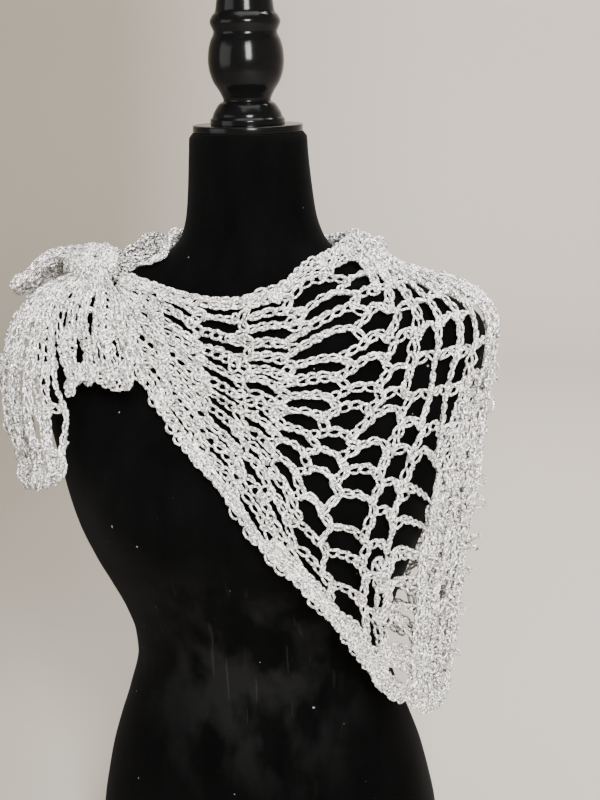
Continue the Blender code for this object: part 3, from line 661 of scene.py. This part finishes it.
# The camera, the studio and the lights
def add_camera():
    data = bpy.data.cameras.new("camera")
    data.sensor_width = SENSOR
    data.lens = CAMERA_FOCUS / IMAGE_TALL * SENSOR
    data.clip_start, data.clip_end = 0.01, 50.0
    camera = add_object("camera", data)
    camera.matrix_world = (
        Matrix.Rotation(CAMERA_TURN, 4, "Z")
        @ Matrix.Translation((CAMERA_SIDE, -CAMERA_AWAY, CAMERA_HEIGHT))
        @ Matrix.Rotation(math.pi / 2 - CAMERA_PITCH, 4, "X")
        @ Matrix.Rotation(-CAMERA_ROLL, 4, "Z")
    )
    bpy.context.scene.camera = camera


# The studio: its radius, the bend from floor to wall, its height and how finely it is drawn
STUDIO_RADIUS = 3.0
STUDIO_BEND = 0.8
STUDIO_TALL = 2.8
STUDIO_SIDES = 96
BEND_STEPS = 12


def add_studio():
    """A pale floor that turns up all round into a pale wall, outside every view's camera"""
    flat = STUDIO_RADIUS - STUDIO_BEND
    profile = [(0.2, 0.0), (1.0, 0.0), (flat, 0.0)]
    for k in range(1, BEND_STEPS + 1):
        turn = math.pi / 2 * k / BEND_STEPS
        profile.append((flat + STUDIO_BEND * math.sin(turn), STUDIO_BEND * (1 - math.cos(turn))))
    profile.append((STUDIO_RADIUS, STUDIO_TALL))
    points, faces = [(0.0, 0.0, 0.0)], []
    for reach, height in profile:
        for side in range(STUDIO_SIDES):
            turn = 2 * math.pi * side / STUDIO_SIDES
            points.append((reach * math.sin(turn), reach * math.cos(turn), height))
    for side in range(STUDIO_SIDES):
        after = (side + 1) % STUDIO_SIDES
        faces.append((0, 1 + after, 1 + side))
        for ring in range(len(profile) - 1):
            low, high = 1 + ring * STUDIO_SIDES, 1 + (ring + 1) * STUDIO_SIDES
            faces.append((low + side, low + after, high + after, high + side))
    mesh = bpy.data.meshes.new("studio")
    mesh.from_pydata(points, [], faces)
    mesh.shade_smooth()
    mesh.materials.append(wall_material())
    studio = add_object("studio", mesh)
    studio.rotation_euler = (0, 0, CAMERA_TURN)


# Each light: where it stands, what it faces, its size, its power and its colour
LAMPS = table(
    "name place target wide tall power colour",
    ("window", (0.75, -1.70, 1.30), (0.0, 0.0, 0.50), 0.5, 1.0, 126.0, (1.0, 0.99, 0.98)),
    ("fill", (-1.6, -1.3, 0.95), (0.0, 0.0, 0.40), 1.4, 1.4, 22.0, (0.99, 0.99, 1.0)),
    ("top", (0.2, -0.2, 2.2), (0.0, 0.1, 0.50), 1.4, 1.0, 26.0, (1.0, 0.99, 0.98)),
    ("wall", (0.4, 0.9, 2.5), (-0.7, 2.9, 0.50), 1.4, 1.0, 112.0, (1.0, 0.98, 0.955)),
)


def add_lamps():
    for lamp in LAMPS:
        data = bpy.data.lights.new(lamp.name, "AREA")
        data.shape = "RECTANGLE"
        data.size, data.size_y = lamp.wide, lamp.tall
        data.energy = lamp.power
        data.color = lamp.colour
        light = add_object(lamp.name, data)
        light.location = lamp.place
        light.rotation_euler = (Vector(lamp.target) - Vector(lamp.place)).to_track_quat("-Z", "Y").to_euler()


# How the knots of the front net lie off an even lattice, in lines along and in rows down
SHIFT_LINES = (6.0, 7.5, 8.5, 9.5, 10.5, 11.5, 13.0, 15.0)
UNSHIFTED = (0.0,) * len(SHIFT_LINES)
SHIFTS = table(
    "row along down",
    (0.0, UNSHIFTED, UNSHIFTED),
    (2.5, (0, 0, -0.2, -0.3, -0.3, -0.2, 0, 0), (0, 0.1, 0.1, 0.2, 0.2, 0.2, 0.1, 0)),
    (4.5, (0, -0.2, -0.7, -1.1, -1.1, -0.6, -0.2, 0), (0.2, 0.5, 0.5, 0.5, 0.6, 0.7, 0.4, 0)),
    (5.5, (0, -0.1, -0.6, -1.0, -1.0, -0.5, -0.2, 0), (0.2, 0.5, 0.5, 0.5, 0.7, 0.8, 0.4, 0)),
    (6.5, (0, 0, -0.2, -0.6, -0.4, -0.3, -0.1, 0), (0.1, 0.3, 0.5, 0.6, 0.7, 0.9, 0.5, 0)),
    (7.5, (0, 0.1, 0, 0, 0.1, 0.3, 0.2, 0), (0, 0.2, 0.3, 0.7, 0.9, 1.1, 0.6, 0)),
    (8.5, (0, 0, 0, 0.3, 0.7, 0.6, 0.3, 0), (-0.1, -0.1, 0.2, 0.7, 1.0, 1.3, 0.7, 0)),
    (9.5, (0, 0, 0, 0.3, 0.9, 0.7, 0.3, 0), (-0.3, -0.4, 0, 0.5, 1.1, 1.4, 0.7, 0)),
    (11.5, (0, 0.1, 0.1, 0.9, 1.2, 0.9, 0.4, 0), (-0.3, -0.5, -0.2, 0.3, 0.9, 1.2, 0.6, 0)),
    (13.5, (0, 0.1, 0.1, 0.8, 1.0, 0.8, 0.3, 0), (-0.2, -0.4, -0.2, 0.2, 0.6, 0.8, 0.4, 0)),
    (18.0, UNSHIFTED, UNSHIFTED),
)
# Where the rows of chain lie down the drape: next to the knot, and on the rest of it
COARSE_COLUMNS = 5
COARSE_ROWS = (1.6, 3.3, 5.0, 6.6, 8.1, 9.6, 11.2, 12.9, 14.7, 16.4)
OPEN_ROWS = (*range(1, 12), 12.1, 13.3, 14.7, 16.2)
STAGGER = 0.22
STAGGER_COLUMNS = 8
# How far the posts swing to and fro where the rows meet them, by the columns from the knot
SWING_COLUMNS = (0.0, 4.0, 8.0, 13.0)
SWINGS = (0.04, 0.17, 0.12, 0.18)
SAME_PLACE = 0.14


def shifted(row, line, column):
    """One column of the shift table at a row and a line"""
    rows = [s.row for s in SHIFTS]
    across = [float(np.interp(line, SHIFT_LINES, s[column])) for s in SHIFTS]
    return float(np.interp(row, rows, across))


# The net: rows of chain between posts, the rows of neighbouring columns out of step
def net_rows(columns, knot_first):
    """Where each column's rows leave the post before them and meet the one after"""
    runs = []
    for j in range(columns):
        from_knot = j if knot_first else columns - 1 - j
        step = STAGGER * (-1) ** j if not knot_first or from_knot < STAGGER_COLUMNS else 0.0
        for i, row in enumerate(COARSE_ROWS if from_knot < COARSE_COLUMNS else OPEN_ROWS):
            middle = row + step + WANDER_DOWN * (spread(i, j, 2) + spread(i, j + 1, 2)) / 2
            ends = []
            for line, side in ((j, 1), (j + 1, -1)):
                swing = float(np.interp(from_knot, SWING_COLUMNS, SWINGS)) if 0 < line < columns else 0.0
                u = line + side * swing * (1 + 0.4 * spread(i, j, 1 + side))
                v = middle
                if knot_first:
                    u += shifted(row, line, 1)
                    v += 0.5 * (shifted(row, line, 2) + shifted(row, j + 0.5, 2))
                ends.append((u, float(np.clip(v, ROW_LIMIT, ROWS - ROW_LIMIT)) / ROWS))
            runs.append((j, i, ends[0], ends[1]))
    return runs


# Runs of the net: their steps, their sag, how near the edges they come, and how uneven they lie
ARC_STEPS = 9
POST_STEPS = 6
ROW_ARC = 0.2
ROW_LIMIT = 0.3
NET_WIDTH = 0.95
NET_VARY = 0.2
NET_ROLL = 0.9
NET_TWIST = 0.8
NET_UNEVEN = 0.0008


def run_between(sheet, near, far, sag_u, sag_v, height):
    """A short run over the sheet from one place to another, with its sag"""
    t = np.linspace(0, 1, ARC_STEPS)
    bow = np.sin(math.pi * t)
    u = near[0] + (far[0] - near[0]) * t + sag_u * bow
    v = near[1] + (far[1] - near[1]) * t + sag_v * bow
    return sheet.at(u, v, height)


def post_places(line, runs):
    """The places that one post passes, from the neckline to the hem"""
    met = [near for j, i, near, far in runs if j == line]
    met += [far for j, i, near, far in runs if j == line - 1]
    places = [(float(line), 0.0)]
    for u, v in sorted(met, key=lambda place: place[1]):
        if (v - places[-1][1]) * ROWS < SAME_PLACE and len(places) > 1:
            u = 0.5 * (u + places.pop()[0])
        places.append((u, v))
    places.append((float(line), 1.0))
    return places


# Loose loops that stand out of the cloth: lines and rows from and to, and how many
FRONT_LOOPS = ((12.0, 14.9, 7.0, 17.5, 46), (7.5, 14.0, 0.1, 1.6, 22), (1.0, 6.0, 0.3, 17.0, 26))
BACK_LOOPS = ((0.1, 3.0, 7.0, 17.5, 40), (0.2, 8.0, 0.1, 1.6, 20))
LOOP_SIZE = 0.0042
LOOP_TALL = 0.9
LOOP_RISE = 0.8
LOOP_LIFT = 0.002


def loose_loops(sheet, groups):
    """Small loops of yarn, turned every way, that lift off the cloth"""
    for group, (line0, line1, row0, row1, count) in enumerate(groups):
        for k in range(count):
            u = line0 + (line1 - line0) * (0.5 + 0.5 * spread(k, group, 81))
            v = (row0 + (row1 - row0) * (0.5 + 0.5 * spread(k, group, 82))) / ROWS
            places, outs = sheet.at([u, u + 0.1], v, LOOP_LIFT)
            lean = math.pi * spread(k, group, 83)
            along = unit(places[1] - places[0])
            down = np.cross(outs[0], along)
            axis = unit(along * math.cos(lean) + down * math.sin(lean))
            rise = unit(outs[0] + 0.9 * spread(k, group, 84) * np.cross(outs[0], axis))
            size = LOOP_SIZE * (1 + 0.35 * spread(k, group, 85))
            turn = np.linspace(-0.55 * math.pi, 1.55 * math.pi, 14)
            lift = LOOP_TALL * size * (LOOP_RISE + np.sin(turn))
            yield places[0] + rise * lift[:, None] + axis * (size * np.cos(turn))[:, None]


def net_chains(sheet, columns, knot_first):
    """The rows and posts of one drape's net"""
    runs = net_rows(columns, knot_first)
    for j, i, near, far in runs:
        arc = -ROW_ARC / ROWS * (1 + 0.6 * spread(i, j, 3))
        line, out = run_between(sheet, near, far, 0.0, arc, NET_UNEVEN * spread(i, j, 4))
        width = NET_WIDTH + NET_VARY * spread(i, j, 6)
        yield chain(line, out, width, NET_ROLL * spread(i, j, 5), NET_TWIST * spread(i, j, 7))
    for post in range(columns + 1):
        if post == 0 or (post == columns and not knot_first):
            continue
        places = np.array(post_places(post, runs))
        marks = np.arange(len(places))
        for start in range(0, len(places) - 1, 2):
            last = min(start + 2, len(places) - 1)
            at = np.linspace(start, last, POST_STEPS * (last - start) + 1)
            u, v = smooth_curve(marks, places[:, 0], at), smooth_curve(marks, places[:, 1], at)
            line, out = sheet.at(u, v, NET_UNEVEN * spread(start, post, 9))
            width = NET_WIDTH + NET_VARY * spread(start, post, 11)
            roll, twist = NET_ROLL * spread(start, post, 10), NET_TWIST * spread(start, post, 12)
            yield chain(line, out, width, roll, twist)


# Stretches where the net lies double: rows and lines from and to, and how far in it lies
DOUBLE_COLUMNS = "first_row last_row first_line last_line inward"
DOUBLE_WANDER = 0.38
DOUBLE_ARC = -0.15
DOUBLE_BOW = 0.1
FRONT_DOUBLES = table(
    DOUBLE_COLUMNS,
    (0.5, 2.6, 8.5, 14.5, 0.001),
    (8.0, 17.2, 12.0, 14.9, 0.0045),
    (13.0, 17.2, 10.2, 12.6, 0.003),
    (16.3, 17.6, 6.0, 14.5, 0.0006),
)
BACK_DOUBLES = table(
    DOUBLE_COLUMNS,
    (0.5, 2.6, 0.3, 9.0, 0.001),
    (8.0, 17.2, 0.1, 3.5, 0.0045),
)


def doubled_chains(sheet, doubles):
    """A second run of net inside the first, half a cell off it"""
    for salt, double in enumerate(doubles):
        rows = np.arange(double.first_row, double.last_row + 0.01, 1.0)
        lines = np.arange(double.first_line, double.last_line + 0.01, 1.0)

        def place(i, j):
            u = lines[j] + DOUBLE_WANDER * spread(i, j, 31 + salt)
            v = rows[i] + DOUBLE_WANDER * spread(i, j, 41 + salt)
            return min(max(u, double.first_line), double.last_line), v / ROWS

        for i in range(len(rows)):
            for j in range(len(lines)):
                height = -double.inward * (1 + 0.3 * spread(i, j, 51 + salt))
                near = place(i, j)
                if j + 1 < len(lines):
                    line, out = run_between(sheet, near, place(i, j + 1), 0.0, DOUBLE_ARC / ROWS, height)
                    yield chain(line, out, NET_WIDTH, NET_ROLL * spread(i, j, 61 + salt), 0.5)
                if i + 1 < len(rows):
                    line, out = run_between(sheet, near, place(i + 1, j), DOUBLE_BOW, 0.0, height)
                    yield chain(line, out, NET_WIDTH, NET_ROLL * spread(i, j, 71 + salt), 0.5)


# The border's rows: how many, how far in, how far apart, their waves and their steps to a line
EDGE_ROWS = 2
EDGE_INSET = 0.006
EDGE_APART = 0.014
EDGE_WAVE = 0.004
EDGE_RIPPLE = 0.0005
EDGE_STEPS = 14


def edge_chains(sheet, columns, v, inward):
    """The worked border along the neckline or the hem"""
    for k in range(EDGE_ROWS):
        t = np.linspace(0, columns, columns * EDGE_STEPS + 1)
        place = v + inward * (EDGE_INSET + EDGE_APART * k) + EDGE_WAVE * np.sin(5.3 * t + 2 * k)
        for a in range(columns):
            part = slice(a * EDGE_STEPS, (a + 1) * EDGE_STEPS + 1)
            line, out = sheet.at(t[part], place[part], EDGE_RIPPLE * np.sin(7 * t[part] + k))
            yield chain(line, out, 1.0, 0.3 * spread(a, k, 13), 0.4)


# The picots of the hem: their size and step, how uneven they are, and their shape as shares of it
PICOT = 0.0054
PICOT_STEP = 0.0093
PICOT_UNEVEN = 0.4
PICOT_TALL = 0.55
PICOT_WIDE = 0.75
PICOT_SUNK = 0.001


def picots(sheet, columns):
    """Small loops of yarn that stand out along the hem"""
    t = np.linspace(0, columns, columns * 40 + 1)
    line, out = sheet.at(t, 1.0, 0.0)
    inside, _ = sheet.at(t, 0.98, 0.0)
    run = lengths_along(line)
    for k in range(int(run[-1] / PICOT_STEP)):
        here = (k + 0.5 + 0.2 * spread(k, columns, 14)) * PICOT_STEP
        place = follow(line, run, here)
        normal = unit(follow(out, run, here))
        index = int(np.clip(np.searchsorted(run, here), 1, len(t) - 2))
        forward = unit(line[index + 1] - line[index - 1])
        away = unit(line[index] - inside[index])
        away = unit(away - forward * np.dot(away, forward))
        size = PICOT * (1 + PICOT_UNEVEN * spread(k, columns, 15))
        turn = np.linspace(-0.6 * math.pi, 1.6 * math.pi, 15)
        yield (
            place
            + away * (size * PICOT_TALL * (1 + np.sin(turn)) - PICOT_SUNK)[:, None]
            + forward * (size * PICOT_WIDE * np.cos(turn))[:, None]
            + normal * (0.0012 * spread(k, columns, 16) + 0.0006 * np.cos(turn))[:, None]
        )


# The bunched cloth between the neck and the knot, drawn together into a thick soft rope
BAND_STRANDS = 9
BAND_FROM = 8.6
BAND_TO = 12.9
BAND_HALF = 0.0085
BAND_TWIST = 2.4
BAND_WIDTH = 0.9
BAND_STEPS = 40
BAND_ROW = 0.10
BAND_LIFT = 0.0035
BAND_SEAT = 0.002
BAND_FLAT = -0.35
BAND_SWELL = (0.45, 0.9, 1.0, 0.7)
BAND_SWELL_AT = (0.0, 0.25, 0.8, 1.0)


def band_chains(sheet):
    """Chains that wind round each other along the back neckline to the knot"""
    t = np.linspace(0, 1, BAND_STEPS)
    u = BAND_FROM + (BAND_TO - BAND_FROM) * t
    middle, out = sheet.at(u, BAND_ROW, BAND_LIFT)
    forward = unit(np.gradient(middle, axis=0))
    side = unit(np.cross(forward, out))
    swell = BAND_HALF * np.interp(t, BAND_SWELL_AT, BAND_SWELL)
    for k in range(BAND_STRANDS):
        turn = 2 * math.pi * k / BAND_STRANDS + BAND_TWIST * t + 0.3 * spread(k, 1, 35)
        reach = swell * (1 + 0.25 * spread(k, 2, 35))
        high = np.maximum(np.cos(turn), BAND_FLAT)
        line = middle + out * (reach * high + BAND_SEAT)[:, None] + side * (reach * np.sin(turn))[:, None]
        facing = unit(out * np.cos(turn)[:, None] + side * np.sin(turn)[:, None])
        yield chain(line, facing, BAND_WIDTH, 0.5 * spread(k, 3, 35), 0.8)


# The knot's two layers of chains, the outer first: how many, where they start and how far in
KNOT_LAYERS = ((20, 0.20, 0.0004), (26, 0.10, 0.0022))
KNOT_FALL = 2.2
KNOT_WIDTH = 0.85
# How far down the free ends' chains are drawn in to the knot, and how deep they start in it
ROOT_REACH = 0.3
ROOT_DEPTH = 0.85


def knot_chains():
    """Chains that run over the knot from its middle to its rim, in two layers"""
    facing = unit(KNOT_FACING)
    across = unit(np.cross([0, 0, 1.0], facing))
    up = np.cross(facing, across)
    for layer, (count, start, inset) in enumerate(KNOT_LAYERS):
        for k in range(count):
            turn = 2 * math.pi * (k + 0.5 * layer) / count + 0.1 * spread(k, layer, 17)
            fall = np.linspace(start, KNOT_FALL, 16)
            bend = 0.25 * spread(k, layer, 18) * np.sin(fall)
            away = (
                facing * np.cos(fall)[:, None]
                + np.sin(fall)[:, None]
                * (across * np.cos(turn + bend)[:, None] + up * np.sin(turn + bend)[:, None])
            )
            line = KNOT_CENTRE + away * (KNOT_RADII - inset)
            out = unit(away / KNOT_RADII)
            yield chain(line, out, KNOT_WIDTH, 0.4 * spread(k, layer, 19), 0.3)


def root_on_knot(line):
    """Draws the first part of a hanging chain in to the knot"""
    pull = np.clip(1 - np.linspace(0, 1, len(line)) / ROOT_REACH, 0, 1) ** 2
    away = (line[0] - KNOT_CENTRE) / KNOT_RADII
    root = KNOT_CENTRE + away / np.linalg.norm(away) * KNOT_RADII * ROOT_DEPTH
    return line + (root - line[0]) * pull[:, None]


# The chains of the free ends: how they sway, how uneven they lie, and their links and loops
TAIL_SWAY = 0.36
TAIL_WAVES = 7.0
TAIL_STEP = 0.002
TAIL_LOOP = 0.0058
TAIL_RIPPLE = 0.0012
TAIL_STEPS = 25
TAIL_WIDTH = 0.9
LINK_STEPS = 7
LINK_ARC = 0.03
LOOP_WIDTH = 0.8
LOOP_STITCH = 0.008
# The loops along one side of a free end and along its hem
SIDE_LOOPS = 8
SIDE_LOOP = 0.0062
HEM_LOOPS = 9
HEM_LOOP = 0.0064


def end_loop(sheet, u, v, size, turn_on):
    """A round loop of chain at the end of a strand, turned a little to one side"""
    centre, normal = sheet.at([u], v, 0.0012)
    above, _ = sheet.at([u], v - 0.07, 0.0)
    down = unit(centre[0] - above[0])
    side = unit(np.cross(down, normal[0]))
    out = unit(normal[0] + side * turn_on)
    side = unit(np.cross(down, out))
    turn = np.linspace(0.5 * math.pi, 2.5 * math.pi, 22)
    loop = centre[0] + down * size * 0.6 + side * (size * np.cos(turn))[:, None]
    loop = loop - down * (size * np.sin(turn))[:, None]
    return chain(loop, np.tile(out, (len(turn), 1)), LOOP_WIDTH, 0.3, 0.0, LOOP_STITCH)


def edge_loops(sheet, salt):
    """Round loops that stand out from one side of a free end and from its hem"""
    for k in range(SIDE_LOOPS):
        u, v = 0.02 + 0.03 * spread(k, salt, 36), 0.42 + 0.075 * k
        size = SIDE_LOOP * (1 + 0.2 * spread(k, salt, 37))
        yield end_loop(sheet, u, v, size, 0.9 * spread(k, salt, 38))
    for k in range(HEM_LOOPS):
        u, v = (k + 0.5) / HEM_LOOPS, 0.93 + 0.04 * spread(k, salt, 39)
        size = HEM_LOOP * (1 + 0.2 * spread(k, salt, 40))
        yield end_loop(sheet, u, v, size, 0.9 * spread(k, salt, 42))


def tail_chains(sheet, strands, links, salt):
    """Chains that hang side by side from the knot, joined by links, with loops at their ends"""
    t = np.linspace(0, 1, TAIL_STEPS)

    def place(k):
        sway = TAIL_SWAY * np.sin(TAIL_WAVES * t + 3 * spread(k, salt, 29)) * t ** 0.5
        return np.clip((k + sway) / (strands - 1), -0.01, 1.01)

    for k in range(strands):
        end = 0.96 + 0.05 * spread(k, salt, 21)
        height = TAIL_STEP * spread(k, salt, 22) + TAIL_RIPPLE * np.sin(9 * t + 3 * spread(k, salt, 30))
        line, out = sheet.at(place(k), t * end, height)
        line = root_on_knot(line)
        roll, twist = 1.1 * spread(k, salt, 23), 1.4 * spread(k, salt, 24)
        yield chain(line, out, TAIL_WIDTH, roll, twist)
        size = TAIL_LOOP * (1 + 0.25 * spread(k, salt, 25))
        low = 0.93 + 0.05 * spread(k, salt, 31)
        yield end_loop(sheet, place(k)[-1], low, size, 0.8 * spread(k, salt, 32))
        if k % 3 == 1:
            at = 0.55 + 0.2 * spread(k, salt, 33)
            across = place(k)[int((TAIL_STEPS - 1) * at)]
            yield end_loop(sheet, across, at, 0.8 * size, 1.2 * spread(k, salt, 34))
    for i in range(links):
        for k in range(strands - 1):
            v = (i + 1.0 + 0.35 * spread(i, k, 26 + salt)) / (links + 0.6)
            if v > 1.0:
                continue
            index = int((TAIL_STEPS - 1) * v)
            s = np.linspace(place(k)[index], place(k + 1)[index], LINK_STEPS)
            arc = LINK_ARC * np.sin(math.pi * np.linspace(0, 1, LINK_STEPS))
            line, out = sheet.at(s, v + arc, NET_UNEVEN * spread(i, k, 27))
            yield chain(line, out, TAIL_WIDTH, 0.8 * spread(i, k, 28), 0.0)


# The flecks of the yarn, the dark ones partly painted shade between its fibres, and a greyer copy of the same
# yarn for the neck band: painted shade, as the band is turned away from the light
YARN_TONES = ((0.24, 0.234, 0.225), (0.60, 0.585, 0.56), (1.0, 0.985, 0.96))
SHADED_BAND_TONES = ((0.06, 0.058, 0.054), (0.24, 0.233, 0.22), (0.80, 0.785, 0.76))

# The drapes, and the free ends with their pleats, their chains and the links across them
DRAPES = table(
    "node lines knot_first loops doubles",
    ("drape_front", FRONT_LINES, True, FRONT_LOOPS, FRONT_DOUBLES),
    ("drape_back", BACK_LINES, False, BACK_LOOPS, BACK_DOUBLES),
)
TAILS = table(
    "node stations pleats depth strands links",
    ("tail_front", TAIL_FRONT, 4.0, 0.005, 10, 3),
    ("tail_side", TAIL_SIDE, 4.5, 0.006, 10, 5),
    ("tail_back", TAIL_BACK, 3.5, 0.006, 12, 4),
)


def dress():
    yarn = yarn_material("silver_yarn", YARN_TONES)
    # The same yarn in darker tones: painted shade on the neck band, which is turned away from the light
    shaded_band_yarn = yarn_material("silver_yarn_painted_shade", SHADED_BAND_TONES)
    cloth = Cloth()
    made = {}

    def work(name, node, *parts, material=yarn):
        """A piece made of the parts' runs of yarn"""
        paths = [path for part in parts for path in part]
        made[name] = add_piece(name, tube_mesh(name, paths), material, node)

    for drape in DRAPES:
        sheet = drape_sheet(cloth, drape.lines, drape.knot_first)
        columns = len(drape.lines) - 1
        work(drape.node + "_net", drape.node, net_chains(sheet, columns, drape.knot_first))
        work(
            drape.node + "_edging", drape.node,
            edge_chains(sheet, columns, 0.0, 1), edge_chains(sheet, columns, 1.0, -1),
            picots(sheet, columns), loose_loops(sheet, drape.loops), doubled_chains(sheet, drape.doubles),
        )
    back = sheet
    work("knot_strands", "knot", knot_chains())
    for salt, tail in enumerate(TAILS, start=1):
        sheet = fan_sheet(cloth, tail.stations, tail.pleats, tail.depth)
        parts = [tail_chains(sheet, tail.strands, tail.links, salt)]
        if tail.node == "tail_side":
            parts.append(edge_loops(sheet, salt))
        work(tail.node + "_chains", tail.node, *parts)
    # The neck band takes the darker copy of the yarn: painted shade
    work("neck_band_strands", "drape_back", band_chains(back), material=shaded_band_yarn)
    for cut in CUTS:
        [made[name] for name in cut.with_pieces]


# Each stretch of the one triangle as it was made, before it was worn: its size and its area
CUTS = table(
    "piece wide long area held rests_on with_pieces",
    ("drape_front_net", 0.50, 0.49, 0.11, "draped", "torso", ["drape_front_edging"]),
    ("drape_back_net", 0.62, 0.49, 0.14, "draped", "torso", ["drape_back_edging", "neck_band_strands"]),
    ("knot_strands", 0.16, 0.16, 0.024, "gathered", "torso", []),
    ("tail_front_chains", 0.17, 0.12, 0.0195, "hung", "knot", []),
    ("tail_side_chains", 0.22, 0.21, 0.04, "hung", "knot", []),
    ("tail_back_chains", 0.21, 0.12, 0.025, "hung", "knot", []),
)

# How finely the form's pieces are drawn: points around each and rings up each
TORSO_AROUND = 144
TORSO_RINGS = 190
TURNED_AROUND = 96
FINIAL_RINGS = 160


def ring_mesh(name, rings):
    """A closed body made of rings from the bottom up"""
    count, around = len(rings), len(rings[0])
    faces = []
    for ring in range(count - 1):
        for i in range(around):
            a, b = ring * around + i, ring * around + (i + 1) % around
            faces.append((a, b, b + around, a + around))
    faces.append(tuple(reversed(range(around))))
    faces.append(tuple(range((count - 1) * around, count * around)))
    mesh = bpy.data.meshes.new(name)
    mesh.from_pydata(np.concatenate(rings).tolist(), [], faces)
    mesh.shade_smooth()
    mesh.set_sharp_from_angle(angle=math.radians(50))
    return mesh


def dress_form():
    heights = [s.height for s in SECTIONS]
    even = np.linspace(heights[0], heights[-1], TORSO_RINGS)
    angles = np.linspace(0, 2 * math.pi, TORSO_AROUND, endpoint=False)
    rings = [form_skin(np.full(TORSO_AROUND, h), angles) for h in even]
    add_piece("torso_velvet", ring_mesh("torso_velvet", rings), velvet_material(), "torso")
    gloss = gloss_material()
    angles = np.linspace(0, 2 * math.pi, TURNED_AROUND, endpoint=False)

    def turned(name, profile, node):
        rings = [
            np.stack([radius * np.cos(angles), radius * np.sin(angles), np.full(TURNED_AROUND, z)], axis=-1)
            for z, radius in profile
        ]
        add_piece(name, ring_mesh(name, rings), gloss, node)

    turns = np.linspace(0, 1, FINIAL_RINGS)
    marks = [t.height for t in FINIAL]
    at = np.interp(turns, np.linspace(0, 1, len(marks)), marks)
    radii = smooth_curve(marks, [t.radius for t in FINIAL], at)
    turned("finial_gloss", list(zip(FINIAL_BASE + at, radii)), "finial")
    edge = [
        (CAP_BASE + CAP_EDGE * (1 - math.cos(a)), CAP_RADIUS - CAP_EDGE * (1 - math.sin(a)))
        for a in np.linspace(0, math.pi / 2, 5)
    ]
    top = [(2 * CAP_BASE + CAP_THICK - z, radius) for z, radius in reversed(edge)]
    turned("neck_cap_gloss", edge + top, "neck_cap")
    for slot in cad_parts["base_plate"].material_slots:
        slot.material = plate_material()


add_camera()
add_studio()
add_lamps()
dress()
dress_form()
